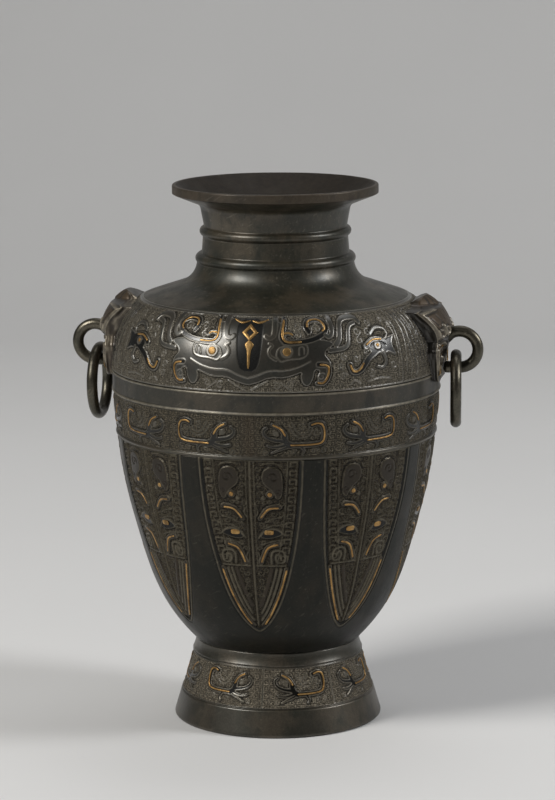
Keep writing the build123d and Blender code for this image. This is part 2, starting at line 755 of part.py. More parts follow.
# Gold of the right mask: eye outlines and cheek lines on the lower face
MASK_GOLD_EYE = [(8.5, 17.0), (19.5, 18.0), (15.5, 10.5)]
MASK_GOLD_CHEEK = [(24.6, 14.0), (24.2, 5.0), (20.4, -3.0)]
MASK_GOLD_WIDTH = 1.3


def right_mask_gold():
    lines = []
    for side in (-1, 1):
        eye = [(side * y, BAND_Z + rise) for y, rise in MASK_GOLD_EYE]
        outer = make_face(Polyline(*eye, close=True))
        lines.append(outer - offset(outer, -MASK_GOLD_WIDTH))
        lines.append(line_face([(side * y, BAND_Z + rise) for y, rise in MASK_GOLD_CHEEK]))
    plane = Plane.YZ.offset(MASK_CHIN_X - GOLD_DEPTH)
    solids = []
    for line in lines:
        solids += extrude(plane * line, amount=GOLD_DEPTH + GOLD_PROUD).solids()
    return solids


def write(name, shapes):
    """One STEP file for a node, from one solid or a list of solids."""
    solids = shapes if isinstance(shapes, list) else shapes.solids()
    export_step(solids[0] if len(solids) == 1 else Compound(children=solids), f"parts/{name}.step")


def cut(part, tools):
    """One solid with the tools' room taken out of it."""
    result = part.cut(*tools)
    return max(result.solids(), key=lambda solid: solid.volume)


def main():
    os.makedirs("parts", exist_ok=True)
    half_turn = (0, 180)
    shoulder_front = taotie_gold()
    shoulder_back = around(shoulder_front, [180])
    belly_profile = sampled(belly_curve)
    belly_half = []
    for place in range(BELLY_DRAGONS):
        azimuth = BELLY_DRAGON_START + place * BELLY_DRAGON_STEP
        for side in (-1, 1):
            belly_half += dragon_gold(LEAF_TOP_Z, 1.0, belly_profile, azimuth, side)
    belly_gold = around(belly_half, half_turn)
    foot_profile = sampled(foot_curve)
    foot_low = FOOT_BAND_LOW - FOOT_DRAGON_DROP
    foot_half = []
    for place in range(FOOT_DRAGONS):
        azimuth = FOOT_DRAGON_START + place * FOOT_DRAGON_STEP
        for side in (-1, 1):
            foot_half += dragon_gold(foot_low, FOOT_DRAGON_SQUEEZE, foot_profile, azimuth, side)
    foot_gold = around(foot_half, half_turn)
    one_leaf = leaf_gold()
    leaf_step = 360 / LEAF_COUNT
    leaves = [around(one_leaf, [number * leaf_step]) for number in range(LEAF_COUNT)]

    hole = along_x(SHANK_RADIUS + SHANK_CLEARANCE, BAND_CENTRE, 2 * BELLY_RADIUS, ROOT_Z)
    belly, shoulder, neck = body_sections()
    write("vessel_body", belly)
    write("shoulder_section", cut(shoulder.solid(), around([hole], half_turn)))
    write("neck_section", neck)
    write("foot_ring", foot_ring())
    write("base_plate", base_plate())
    write("shoulder_gold_front", shoulder_front)
    write("shoulder_gold_back", shoulder_back)
    write("belly_gold", belly_gold)
    write("foot_gold", foot_gold)
    for number, gold in enumerate(leaves, start=1):
        write(f"leaf_gold_{number}", gold)

    mask_gold = right_mask_gold()
    mask = cut(right_mask(shoulder_seat()), mask_gold)
    hook = right_hook()
    rove = right_rove()
    for side, turn, ring_turn in (("right", 0, RIGHT_RING_TURN), ("left", 180, LEFT_RING_TURN)):
        place = Rot(0, 0, turn)
        write(f"{side}_mask", place * mask)
        write(f"{side}_mask_gold", around(mask_gold, [turn]))
        write(f"{side}_hook", place * hook)
        write(f"{side}_rove", place * rove)
        write(f"{side}_ring", place * ring(ring_turn))
    print("hook loop centre", round(HOOK_X, 3), round(HOOK_Z, 3))
    print("ring hinge", round(HINGE_X, 3), round(HINGE_Z, 3))


main()
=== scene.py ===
"""Bronze hu vase with gold inlay, beast-mask handles and loose rings.

The wall is carved row by row: each zone has its turned curve, a drawing of brush lines on the
unrolled surface, and the relief that follows from the distances to those lines. Drawing sizes are
in millimetres and degrees, and meshes are in metres.
"""

import math

import bpy
import numpy as np
from mathutils import Matrix, Vector


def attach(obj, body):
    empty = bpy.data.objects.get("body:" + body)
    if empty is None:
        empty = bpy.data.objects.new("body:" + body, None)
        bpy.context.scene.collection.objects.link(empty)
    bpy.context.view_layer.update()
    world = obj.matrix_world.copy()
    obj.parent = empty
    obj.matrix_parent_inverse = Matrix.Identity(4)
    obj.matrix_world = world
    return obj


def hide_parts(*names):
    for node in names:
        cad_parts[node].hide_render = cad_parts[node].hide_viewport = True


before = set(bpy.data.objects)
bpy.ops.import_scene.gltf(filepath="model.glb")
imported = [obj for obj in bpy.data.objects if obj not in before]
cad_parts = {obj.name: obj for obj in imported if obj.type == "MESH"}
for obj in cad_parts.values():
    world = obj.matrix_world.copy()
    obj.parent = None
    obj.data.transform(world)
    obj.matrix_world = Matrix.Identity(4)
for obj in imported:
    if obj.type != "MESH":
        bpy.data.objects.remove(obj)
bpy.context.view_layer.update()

MM = 0.001
TINY = 1e-12

# Drawings: the distance that stands for nothing near, and how far off a line is felt
FAR = 99.0
NEAR = 6.5

# Carving: soft edges, where a bead ends and the field inside it begins, and depths
FORM_EDGE = 0.35
FINE_EDGE = 0.3
LINE_EDGE = 0.32
RUST_EDGE = 0.5
FORM_BEAD = (0.4, 0.8)
BAND_BEAD = (0.35, 0.7)
MOAT_REACH = (0.55, 1.15)
MOAT_DEPTH = 0.25
DARK_DEPTH = 0.12
CUT_DEPTH = 0.45
ECHO_START = 1.9
ECHO_STEP = 1.55
ECHO_HEIGHT = 0.45

# Unevenness of the casting: slow swells to a turn, and the size and height of the ground's grain
SWELLS = 40
GRAIN_SIZE = 1.35
GRAIN_HEIGHT = 0.3

# The grids of a piece fill its bake up to here, and its end faces lie in the strip above
BAKE_TOP = 0.97
BAKE_STRIP = 0.985

# Where the zones part: heights, and the radii of the waist and of the neck's seam
FOOT_TOP = 57.0
FOOT_WAIST = 58.2
LEAF_TOP = 206.3
BELLY_TOP = 237.0
BAND_FOOT = 253.0
BAND_SEAM = 252.3
NECK_SEAM = 93.0

# Shoulder band: a quarter of an ellipse
BAND_CENTRE = 88.72
BAND_WIDE = 27.48
BAND_TALL = 50.42
BAND_TURN = 76.36
BAND_MEAN = 108.0
WALL = 4.0
LEAVES = 8
LEAF_TURN = 360 // LEAVES

# Handles
LOOP_X = 130.212
LOOP_Z = 266.4
LOOP_RADIUS = 12.7
LOOP_START = 130.0
LOOP_ROD = 4.2
LOOP_ROOT = [(113.0, 0.0, 271.6), (116.0, 0.0, 272.6), (119.0, 0.0, 273.9)]
LOOP_SWELL = (6.0, 14.0)
LOOP_END_X = 119.2
RING_X = 127.612
RING_TOP = 262.1
RING_RADIUS = 23.6
RING_ROD = 3.88
RIGHT_RING_TURN = 6.0
LEFT_RING_TURN = -1.0
MASK_FACE_X = 118.0
MASK_HEAD_X = 68.4
MASK_SINK = 1.5
MASK_COLUMNS = 121


# Plain helpers
def ease(low, high, value):
    """0 below low, 1 above high, and a soft S between."""
    share = np.clip((value - low) / (high - low), 0.0, 1.0)
    return share * share * (3.0 - 2.0 * share)


def fade(low, high, value):
    """1 below low, 0 above high, and a soft S between."""
    return 1.0 - ease(low, high, value)


def unit(rows):
    """Rows of vectors brought to length one."""
    return rows / np.linalg.norm(rows, axis=1, keepdims=True)


def softened(points, rounds=3):
    """A line with its corners cut again and again, ends kept."""
    line = np.array(points, float)
    for _ in range(rounds):
        near = 0.75 * line[:-1] + 0.25 * line[1:]
        far = 0.25 * line[:-1] + 0.75 * line[1:]
        middle = np.stack([near, far], 1).reshape(-1, line.shape[1])
        line = np.vstack([line[:1], middle[1:-1], line[-1:]])
    return line


def walked(line):
    """Distance from the start to each point of a line."""
    steps = np.sqrt((np.diff(line, axis=0) ** 2).sum(1))
    return np.concatenate([[0.0], np.cumsum(steps)])


def resampled(line, count):
    """The same line in even steps."""
    line = np.asarray(line, float)
    way = walked(line)
    at = np.linspace(0.0, way[-1], count)
    return np.stack([np.interp(at, way, line[:, k]) for k in range(line.shape[1])], 1)


def arc_through(first, middle, last, count=24):
    """Points on the circle arc through three points."""
    (ax, ay), (bx, by), (cx, cy) = first, middle, last
    twice = 2 * (ax * (by - cy) + bx * (cy - ay) + cx * (ay - by))
    a2, b2, c2 = ax * ax + ay * ay, bx * bx + by * by, cx * cx + cy * cy
    ox = (a2 * (by - cy) + b2 * (cy - ay) + c2 * (ay - by)) / twice
    oy = (a2 * (cx - bx) + b2 * (ax - cx) + c2 * (bx - ax)) / twice
    turns = np.unwrap([math.atan2(y - oy, x - ox) for x, y in (first, middle, last)])
    sweep = np.linspace(turns[0], turns[2], count)
    radius = math.hypot(ax - ox, ay - oy)
    return np.stack([ox + radius * np.cos(sweep), oy + radius * np.sin(sweep)], 1)


def filleted(points, radii, steps=9):
    """Straight runs whose corners are rounded."""
    points = [np.array(p, float) for p in points]
    line = [points[0]]
    for before, here, after, radius in zip(points, points[1:], points[2:], radii):
        into = (here - before) / np.linalg.norm(here - before)
        out = (after - here) / np.linalg.norm(after - here)
        reach = radius * math.tan(math.acos(np.clip(into @ out, -1, 1)) / 2)
        start, end = here - into * reach, here + out * reach
        for share in np.linspace(0, 1, steps):
            line.append((1 - share) ** 2 * start + 2 * share * (1 - share) * here + share**2 * end)
    line.append(points[-1])
    return np.array(line)


def curl(x, y, radius, turns=1.4, start=0.0, hand=1):
    """A small spiral that winds in towards its middle."""
    share = np.linspace(0.0, 1.0, 22)
    sweep = math.radians(start) + hand * 2 * math.pi * turns * share
    reach = radius * (1.0 - 0.8 * share)
    return np.stack([x + reach * np.cos(sweep), y + reach * np.sin(sweep)], 1)


def grain(x, y, seed, around=256):
    """Soft random heights from -1 to 1, one bump to a unit step, that close after `around` steps."""
    lattice = np.random.default_rng(seed).uniform(-1, 1, (around, 256))
    column, row = np.floor(x).astype(int), np.floor(y).astype(int)
    fx, fy = x - column, y - row
    fx, fy = fx * fx * (3 - 2 * fx), fy * fy * (3 - 2 * fy)

    def at(i, j):
        return lattice[(column + i) % around, (row + j) % 256]

    low = at(0, 0) * (1 - fx) + at(1, 0) * fx
    high = at(0, 1) * (1 - fx) + at(1, 1) * fx
    return low * (1 - fy) + high * fy


def spin(turn):
    """Matrix that turns rows of points about the upright axis, in degrees."""
    cos, sin = math.cos(math.radians(turn)), math.sin(math.radians(turn))
    return np.array([[cos, sin, 0], [-sin, cos, 0], [0, 0, 1]])


def to_segment(x, y, start, end):
    """Distances to a straight run, and how far along it the nearest point lies."""
    (ax, ay), (bx, by) = start, end
    dx, dy = bx - ax, by - ay
    share = np.clip(((x - ax) * dx + (y - ay) * dy) / (dx * dx + dy * dy + TINY), 0, 1)
    return np.hypot(x - ax - share * dx, y - ay - share * dy), share


# Drawings on the unrolled surface
class Drawing:
    """Distances from each point of a zone's unrolled surface to the lines and shapes drawn on it."""

    def __init__(self, across, up):
        self.across = across
        self.up = up
        self.layers = {}

    def layer(self, name):
        """The distances to everything drawn under one name."""
        return self.layers.setdefault(name, np.full(self.across.shape, FAR))

    def window(self, line, margin):
        """The rows and columns that lie near a line, if any do."""
        low, high = line.min(0) - margin, line.max(0) + margin
        rows = np.flatnonzero((self.up.max(1) > low[1]) & (self.up.min(1) < high[1]))
        columns = np.flatnonzero((self.across.max(0) > low[0]) & (self.across.min(0) < high[0]))
        if not len(rows) or not len(columns):
            return None
        return slice(rows[0], rows[-1] + 1), slice(columns[0], columns[-1] + 1)

    def keep(self, name, window, distance):
        """Adds distances to a layer, the nearest counting."""
        field = self.layer(name)
        field[window] = np.minimum(field[window], distance)

    def brush(self, name, points, start, end=None, rounds=3):
        """A brush line whose half width goes from start to end."""
        line = softened(points, rounds)
        window = self.window(line, start + NEAR)
        if window is None:
            return
        end = start if end is None else end
        x, y = self.across[window], self.up[window]
        way = walked(line) / walked(line)[-1]
        best = np.full(x.shape, FAR)
        for before, after, here, there in zip(line, line[1:], way, way[1:]):
            distance, share = to_segment(x, y, before, after)
            half = start + (end - start) * (here + (there - here) * share)
            best = np.minimum(best, distance - half)
        self.keep(name, window, best)

    def patch(self, name, points, rounds=2):
        """A filled outline."""
        ring = np.array(points, float)
        for _ in range(rounds):
            following = np.roll(ring, -1, 0)
            ring = np.stack([0.75 * ring + 0.25 * following, 0.25 * ring + 0.75 * following], 1)
            ring = ring.reshape(-1, 2)
        window = self.window(ring, NEAR)
        if window is None:
            return
        x, y = self.across[window], self.up[window]
        best = np.full(x.shape, FAR)
        inside = np.zeros(x.shape, bool)
        for (ax, ay), (bx, by) in zip(ring, np.roll(ring, -1, 0)):
            best = np.minimum(best, to_segment(x, y, (ax, ay), (bx, by))[0])
            crossing = (ay > y) != (by > y)
            rise = by - ay
            inside ^= crossing & (x < ax + (y - ay) * (bx - ax) / (rise if rise else TINY))
        self.keep(name, window, np.where(inside, -best, best))

    def disc(self, name, centre, radius, squeeze=1.0):
        """A round or oval spot."""
        window = self.window(np.array([centre], float), radius * 2 + NEAR)
        if window is None:
            return
        x, y = self.across[window] - centre[0], self.up[window] - centre[1]
        self.keep(name, window, np.hypot(x, y / squeeze) - radius)

    def fill(self, name, soft=FINE_EDGE):
        """1 inside a layer's lines and 0 outside, with a soft edge."""
        return fade(-soft, soft, self.layer(name))

    def outside(self, name, edges):
        """Adds everything below and above a strip to a layer."""
        low, high = edges
        self.keep(name, slice(None), np.minimum(self.up - low, high - self.up))


class Carving:
    """What a drawing makes of a zone: heights in mm, and masks of dark field (painted shade included), bead,
    ground and rust.
    """

    def __init__(self, height, field, bead, ground, rust):
        self.height = height
        self.masks = np.stack([field, bead, ground, rust], -1)

    def spread(self, columns):
        """The same carving with its columns repeated in this order."""
        other = Carving.__new__(Carving)
        other.height = self.height[:, columns]
        other.masks = self.masks[:, columns]
        return other

    def pad(self, before, after):
        """Adds plain rows below and above the carving."""
        columns = self.height.shape[1]
        self.height = np.concatenate([np.zeros((before, columns)), self.height, np.zeros((after, columns))])
        below, above = np.zeros((before, columns, 4)), np.zeros((after, columns, 4))
        self.masks = np.concatenate([below, self.masks, above])


def carved(drawing, depth, sink, echo):
    """Polished forms and smooth bands stand in a bead with a moat round them, darkened as painted shadow;
    the ground is cut down.

    Depth is the ground's, sink that of the fields inside the beads, in mm. The ground has ridges that
    follow the forms at even steps, as strong as echo says.
    """
    forms, bands, face = drawing.layer("forms"), drawing.layer("bands"), drawing.layer("face")
    shape = np.minimum.reduce([forms, bands, face])
    raised = fade(-FORM_EDGE, FORM_EDGE, shape)
    band = drawing.fill("bands", FINE_EDGE)
    form_inner = ease(*FORM_BEAD, -forms) * (1.0 - band)
    face_inner = ease(*FORM_BEAD, -face) * (1.0 - band) * ease(-FINE_EDGE, FINE_EDGE, forms)
    inner = np.maximum(form_inner, face_inner)
    smooth = ease(*BAND_BEAD, -bands)
    beads = drawing.fill("lines", LINE_EDGE)
    dark = drawing.fill("dark", FINE_EDGE)
    plain = drawing.fill("plain", FORM_EDGE)
    cuts = drawing.fill("cuts", FINE_EDGE)
    rust = drawing.fill("rust", RUST_EDGE)
    top = np.maximum.reduce([raised, beads, dark, plain, rust])
    ground = 1.0 - top
    # The moat round the forms is cut down in height and darkened in colour: painted shadow beside the forms.
    moat_and_shadow = ground * fade(*MOAT_REACH, shape)
    away = np.minimum(shape, drawing.layer("lines"))
    ripple = 0.5 + 0.5 * np.cos(2 * math.pi * (away - ECHO_START) / ECHO_STEP)
    ripple = echo * ripple * ground * (1.0 - moat_and_shadow) * fade(NEAR - 2.0, NEAR, away)
    height = ECHO_HEIGHT * ripple - depth * ground - MOAT_DEPTH * moat_and_shadow
    height -= sink * inner * (1.0 - beads) + DARK_DEPTH * dark + CUT_DEPTH * cuts * top
    # The dark field takes the moat's painted shadow along with the dark fields and cuts.
    field = np.maximum.reduce([form_inner, 0.35 * face_inner, dark, 0.9 * moat_and_shadow, 0.2 * smooth, 0.8 * cuts])
    field *= 1.0 - beads
    bead = np.maximum(raised * (1.0 - inner) * (1.0 - smooth), beads)
    bead *= (1.0 - dark * (1.0 - beads)) * (1.0 - plain) * (1.0 - cuts)
    bead = np.maximum(bead, ECHO_HEIGHT * ripple)
    return Carving(height, field, bead, ground, rust * (1.0 - beads))


# Meshes
def grid_corners(rows, columns, wrap_rows, wrap_columns):
    """Corner numbers and bake places of the faces between rows and columns of points."""
    row_faces = rows if wrap_rows else rows - 1
    column_faces = columns if wrap_columns else columns - 1
    r, c = np.meshgrid(np.arange(row_faces), np.arange(column_faces), indexing="ij")
    r, c = r.ravel(), c.ravel()
    corners = []
    places = []
    for dr, dc in ((0, 0), (0, 1), (1, 1), (1, 0)):
        corners.append((r + dr) % rows * columns + (c + dc) % columns)
        places.append(np.stack([(c + dc) / column_faces, (r + dr) / row_faces], -1))
    return np.stack(corners, 1), np.stack(places, 1)


class Pile:
    """Surfaces that together make one piece: points, faces, bake places and carving marks."""

    def __init__(self):
        self.points = []
        self.masks = []
        self.unrolled = []
        self.quads = []
        self.quad_places = []
        self.caps = []
        self.count = 0

    def add(self, points, wrap_rows=False, wrap_columns=True, cap_rows=False, cap_columns=False,
            masks=None, unrolled=None, room=(0.0, 0.0, 1.0, BAKE_TOP)):
        """Adds a grid of points (rows, columns, 3) in mm. room is its rectangle in the bake."""
        rows, columns = points.shape[:2]
        flat = points.reshape(-1, 3)
        quads, places = grid_corners(rows, columns, wrap_rows, wrap_columns)
        corner = flat[quads]
        middle = flat.mean(0)
        inward = np.cross(corner[:, 2] - corner[:, 0], corner[:, 3] - corner[:, 1])
        loops = []
        if cap_rows:
            loops = [np.arange(columns)[::-1], (rows - 1) * columns + np.arange(columns)]
        if cap_columns:
            loops = [np.arange(rows) * columns, (np.arange(rows) * columns + columns - 1)[::-1]]
        if ((corner.mean(1) - middle) * inward).sum() < 0:
            quads, places = quads[:, ::-1], places[:, ::-1]
            loops = [loop[::-1] for loop in loops]
        low, span = np.array(room[:2]), np.array([room[2] - room[0], room[3] - room[1]])
        self.quads.append(quads + self.count)
        self.quad_places.append(low + span * places)
        self.caps += [loop + self.count for loop in loops]
        self.points.append(flat)
        self.masks.append(np.zeros((len(flat), 4)) if masks is None else masks.reshape(-1, 4))
        self.unrolled.append(np.zeros((len(flat), 2)) if unrolled is None else unrolled.reshape(-1, 2))
        self.count += len(flat)

    def turned(self, turn):
        """The same pile turned about the vase's axis."""
        other = Pile()
        other.__dict__.update(self.__dict__)
        other.points = [points @ spin(turn) for points in self.points]
        return other

    def cap_places(self):
        """Bake places of the end faces: a small round spot each, in the strip above the grids."""
        spots = []
        across = 0.9 / max(len(self.caps), 1)
        for number, loop in enumerate(self.caps):
            turn = np.linspace(0, 2 * math.pi, len(loop), endpoint=False)
            reach = min(across, 0.02) * 0.45
            middle = np.array([0.05 + across * (number + 0.5), BAKE_STRIP])
            spots.append(middle + reach * np.stack([np.cos(turn), np.sin(turn)], -1))
        return spots

    def built(self, name, material, body="vessel", slot="bronze", replaces=()):
        """The finished piece, riding on its body."""
        points = np.concatenate(self.points) * MM
        quads = np.concatenate(self.quads)
        corners = np.concatenate([quads.ravel()] + self.caps)
        places = [np.concatenate(self.quad_places).reshape(-1, 2)] + self.cap_places()
        sizes = np.array([4] * len(quads) + [len(loop) for loop in self.caps])
        mesh = bpy.data.meshes.new(name)
        mesh.vertices.add(len(points))
        mesh.vertices.foreach_set("co", points.ravel())
        mesh.loops.add(len(corners))
        mesh.loops.foreach_set("vertex_index", corners.astype(np.int32))
        mesh.polygons.add(len(sizes))
        mesh.polygons.foreach_set("loop_start", (np.cumsum(sizes) - sizes).astype(np.int32))
        smooth = np.zeros(len(sizes), bool)
        smooth[: len(quads)] = True
        mesh.polygons.foreach_set("use_smooth", smooth)
        mesh.update(calc_edges=True)
        mesh.uv_layers.new(name="OFBake").data.foreach_set("uv", np.concatenate(places).ravel())
        marks = mesh.attributes.new("relief", "FLOAT_COLOR", "POINT")
        marks.data.foreach_set("color", np.concatenate(self.masks).ravel())
        flat = np.concatenate(self.unrolled)
        ways = mesh.attributes.new("unrolled", "FLOAT_VECTOR", "POINT")
        ways.data.foreach_set("vector", np.column_stack([flat, np.zeros(len(flat))]).ravel())
        mesh.materials.append(material)
        piece = bpy.data.objects.new(name, mesh)
        bpy.context.scene.collection.objects.link(piece)
        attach(piece, body)
        if replaces:
            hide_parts(*replaces)
        return piece


def wall_normals(curve):
    """Outward normals of a turned curve that runs upwards on the outside."""
    along = np.gradient(curve, axis=0)
    along /= np.linalg.norm(along, axis=1, keepdims=True) + TINY
    return np.stack([along[:, 1], -along[:, 0]], 1)


def around_axis(radius, azimuth, z):
    """Places from radius, azimuth from the front towards the right, and height."""
    turn = np.radians(azimuth)
    return np.stack(np.broadcast_arrays(radius * np.sin(turn), -radius * np.cos(turn), z), -1)


def wall_piece(outer, inner, azimuths, carving, closed, seed, wobble, inner_marks=(0, 0, 0, 0)):
    """A length of the vase's wall, closed round the turn or not: carved rows outside and plain inside."""
    rows, columns = len(outer), len(azimuths)
    outer = np.asarray(outer, float)
    normals = wall_normals(outer)
    way = walked(outer)
    masks = carving.masks
    mean = outer[:, 0].mean()
    flat_x = np.broadcast_to(np.radians(azimuths) * mean, (rows, columns))
    flat_y = np.broadcast_to(way[:, None], (rows, columns))
    girth = 2 * math.pi * mean
    turned = azimuths[None, :] / 360
    slow = grain(turned * SWELLS, way[:, None] / (girth / SWELLS), seed, SWELLS)
    grains = int(girth / GRAIN_SIZE)
    rough = grain(turned * grains, way[:, None] / GRAIN_SIZE, seed + 7, grains)
    height = carving.height - wobble * (0.5 + 0.5 * slow) + GRAIN_HEIGHT * masks[..., 2] * rough
    radius = outer[:, :1] + normals[:, :1] * height
    z = outer[:, 1:] + normals[:, 1:] * height
    front = around_axis(radius, azimuths[None, :], z)
    back = around_axis(inner[:, :1] + 0 * azimuths[None, :], azimuths[None, :], inner[:, 1:])
    points = np.concatenate([front, back])
    inner_masks = np.broadcast_to(np.array(inner_marks, float), (len(inner), columns, 4))
    inner_way = np.stack(np.broadcast_arrays(flat_x[:1], way[-1] + walked(inner)[:, None]), -1)
    pile = Pile()
    pile.add(
        points, wrap_rows=True, wrap_columns=closed, cap_columns=not closed,
        masks=np.concatenate([masks, inner_masks]),
        unrolled=np.concatenate([np.stack([flat_x, flat_y], -1), inner_way]),
    )
    return pile


def plain_marks(outer, columns, dark=0.0, bead=0.0, rust=0.0):
    """A carving without relief, marked row by row."""
    none = np.zeros((len(outer), columns))
    dark, bead, rust = (none + np.reshape(mark, (-1, 1)) for mark in (dark, bead, rust))
    return Carving(none, dark, bead, none, rust)


def whole_turn(count):
    """Azimuths of evenly spaced columns round the vase."""
    return np.arange(count) * 360 / count


def mirrored(azimuths):
    """Azimuths from the middle outwards, with their mirror images before them."""
    return np.concatenate([-azimuths[:0:-1], azimuths])


def mirrored_columns(count):
    """Column numbers that go with mirrored azimuths."""
    return np.concatenate([np.arange(count - 1, 0, -1), np.arange(count)])


def quarter_columns(count):
    """Column numbers that fold a whole turn onto its first quarter."""
    step = np.arange(count)
    half, quarter = count // 2, count // 4
    folded = step % half
    return np.where(folded > quarter, half - folded, folded)


# The zones' outer curves
def band_curve(offset, count):
    """The shoulder band's quarter ellipse, moved out by an offset."""
    sweep = np.radians(np.linspace(0, BAND_TURN, count))
    radius = BAND_CENTRE + (BAND_WIDE + offset) * np.cos(sweep)
    return np.stack([radius, BAND_FOOT + (BAND_TALL + offset) * np.sin(sweep)], 1)


def leaf_curve_from_body():
    """The leaf zone's curve, read off the outermost points of the turned solid, level by level."""
    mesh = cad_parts["vessel_body"].data
    places = np.empty(len(mesh.vertices) * 3)
    mesh.vertices.foreach_get("co", places)
    places = places.reshape(-1, 3) / MM
    radius, z = np.hypot(places[:, 0], places[:, 1]), places[:, 2]
    levels = np.linspace(FOOT_TOP, LEAF_TOP, 22)
    outermost = []
    for low, high in zip(levels, levels[1:]):
        level = np.flatnonzero((z > low - 0.01) & (z <= high + 0.01))
        farthest = level[np.argmax(radius[level])]
        outermost.append((radius[farthest], z[farthest]))
    radii, heights = np.array([(FOOT_WAIST, FOOT_TOP)] + outermost).T
    slopes = np.gradient(radii, heights)
    fine = np.linspace(FOOT_TOP, LEAF_TOP, 600)
    step = np.clip(np.searchsorted(heights, fine) - 1, 0, len(heights) - 2)
    span = heights[step + 1] - heights[step]
    t = np.clip((fine - heights[step]) / span, 0, 1)
    smooth = (
        (2 * t**3 - 3 * t**2 + 1) * radii[step]
        + (t**3 - 2 * t**2 + t) * span * slopes[step]
        + (-2 * t**3 + 3 * t**2) * radii[step + 1]
        + (t**3 - t**2) * span * slopes[step + 1]
    )
    return np.stack([smooth, fine], 1)


BAND_CURVE = band_curve(0.0, 300)
LEAF_CURVE = leaf_curve_from_body()
BELLY_CURVE = arc_through((113.0, 208.5), (114.65, 222.75), (115.3, BELLY_TOP), 120)
FOOT_CURVE = arc_through((68.59, 20.0), (64.0, 33.5), (60.6, 47.0), 120)


def radius_at(curve, z):
    """Radius of a turned curve at a height."""
    return np.interp(z, curve[:, 1], curve[:, 0])


def on_wall(curve, azimuth, z):
    """Places on a zone's surface and their normals."""
    normals = wall_normals(curve)
    out = np.interp(z, curve[:, 1], normals[:, 0])
    up = np.interp(z, curve[:, 1], normals[:, 1])
    return around_axis(radius_at(curve, z), azimuth, z), around_axis(out, azimuth, up)


# Shoulder band: a taotie face on each half, in degrees from the nose line and mm above the band's foot
FACE = [
    (-12.5, 48.4), (12.5, 48.4), (12.6, 34.0), (19.0, 33.0), (24.0, 34.6), (29.0, 33.4), (30.4, 30.4),
    (27.4, 27.8), (26.4, 24.6), (27.8, 21.0), (28.6, 18.0), (28.4, 10.6), (26.6, 4.6), (24.4, 4.2),
    (23.2, 9.0), (24.6, 14.0), (22.6, 15.0), (22.0, 9.4), (20.6, 4.0), (18.6, 4.6), (17.6, 9.6),
    (18.2, 13.6), (16.4, 12.2), (12.4, 9.6), (7.4, 10.2), (3.6, 6.8), (0.0, 4.8), (-3.6, 6.8),
    (-7.4, 10.2), (-12.5, 10.0),
]
NOSE_PANEL = [
    (-4.8, 47.8), (4.8, 47.8), (4.6, 34.0), (3.8, 21.0), (2.4, 14.2), (-2.4, 14.2), (-3.8, 21.0),
    (-4.6, 34.0),
]
HORN = [
    (21.6, 39.5), (20.4, 42.5), (21.2, 46.2), (26.2, 47.0), (28.8, 43.0), (27.6, 38.4), (23.8, 34.8),
    (19.0, 33.0), (13.4, 33.0),
]
BROW = [(12.7, 47.6), (12.3, 42.0), (11.3, 36.2), (12.6, 33.2)]
HOOK_BAR = [(9.3, 48.5), (9.1, 40.0), (8.6, 36.6), (6.9, 35.4), (5.9, 37.0)]
OUTER_BAR = [(30.2, 48.4), (30.6, 41.0), (30.0, 36.8), (28.6, 35.6), (27.6, 37.0)]
ARCH = [(31.0, 30.6), (32.6, 33.4), (33.4, 40.0), (34.4, 45.8), (38.4, 47.2), (41.6, 46.4), (42.4, 43.4)]
INNER_ARCH = [(28.6, 27.0), (34.2, 27.6), (36.0, 31.0), (36.6, 38.0), (37.8, 42.2), (40.2, 43.2)]
EYE_FRAME = [
    (9.6, 24.4), (10.0, 28.6), (12.0, 30.8), (17.0, 31.2), (20.4, 32.0), (20.6, 25.4), (18.6, 22.4),
    (13.6, 22.2), (10.9, 20.2), (9.6, 24.4),
]
EYE_CORNER = [(17.4, 24.6), (17.4, 29.8), (19.2, 30.2), (19.2, 25.2)]
UNDER_EYE = [(9.4, 22.0), (7.2, 24.4), (7.0, 28.6), (8.6, 31.0), (7.2, 32.4)]
MOUTH = [(21.2, 20.6), (17.4, 17.0), (12.2, 14.6), (7.2, 15.2), (3.2, 11.6), (0.0, 9.8)]
CLAW = [(24.0, 18.2), (27.6, 17.6), (27.6, 11.0), (25.8, 5.0), (23.4, 5.6)]
SPUR = [(12.2, 38.4), (14.6, 39.4), (15.8, 36.8)]
SIDE_BROW = [(42.6, 27.6), (45.6, 32.0), (50.0, 31.4), (52.2, 27.6)]
SIDE_BODY = [
    (48.0, 25.2), (45.4, 22.4), (42.6, 19.4), (40.8, 15.0), (38.8, 11.4), (36.2, 11.2), (35.4, 16.6),
]
SIDE_FACE = [
    (43.4, 26.6), (44.8, 31.0), (48.6, 32.6), (51.0, 31.6), (53.6, 32.2), (57.0, 33.6), (54.8, 29.2),
    (54.6, 25.0), (56.0, 18.6), (52.4, 22.4), (50.0, 21.2), (47.6, 22.6), (45.2, 21.6), (43.8, 24.0),
]
SIDE_CREST = [(45.6, 35.4), (48.4, 39.4), (52.2, 38.6), (53.6, 34.4), (52.0, 31.4)]
SIDE_FEATHER = [(49.6, 22.6), (50.8, 17.0), (48.8, 12.2), (46.4, 13.8)]
SHOULDER_CURLS = (
    (24.6, 41.4, 2.9, 200, -1), (24.9, 10.2, 2.2, 40, 1), (40.2, 38.0, 2.4, 0, -1),
    (40.6, 32.0, 2.3, 90, 1), (38.0, 20.4, 2.3, 30, -1), (33.4, 22.0, 2.2, 120, 1),
    (44.6, 36.6, 2.1, 60, 1), (46.0, 42.6, 2.2, 30, -1), (42.2, 24.0, 1.8, 0, 1),
    (53.6, 13.6, 2.4, 0, -1), (43.6, 9.0, 2.3, 90, -1), (32.6, 9.0, 2.2, 10, 1),
    (17.6, 42.0, 2.6, 20, 1), (17.2, 37.2, 1.9, 90, -1), (9.6, 4.4, 2.1, 120, -1),
    (14.4, 5.6, 2.0, 40, 1), (56.0, 39.6, 2.3, 10, 1), (52.8, 44.0, 2.0, 80, -1),
    (31.6, 15.6, 2.0, 300, 1),
)
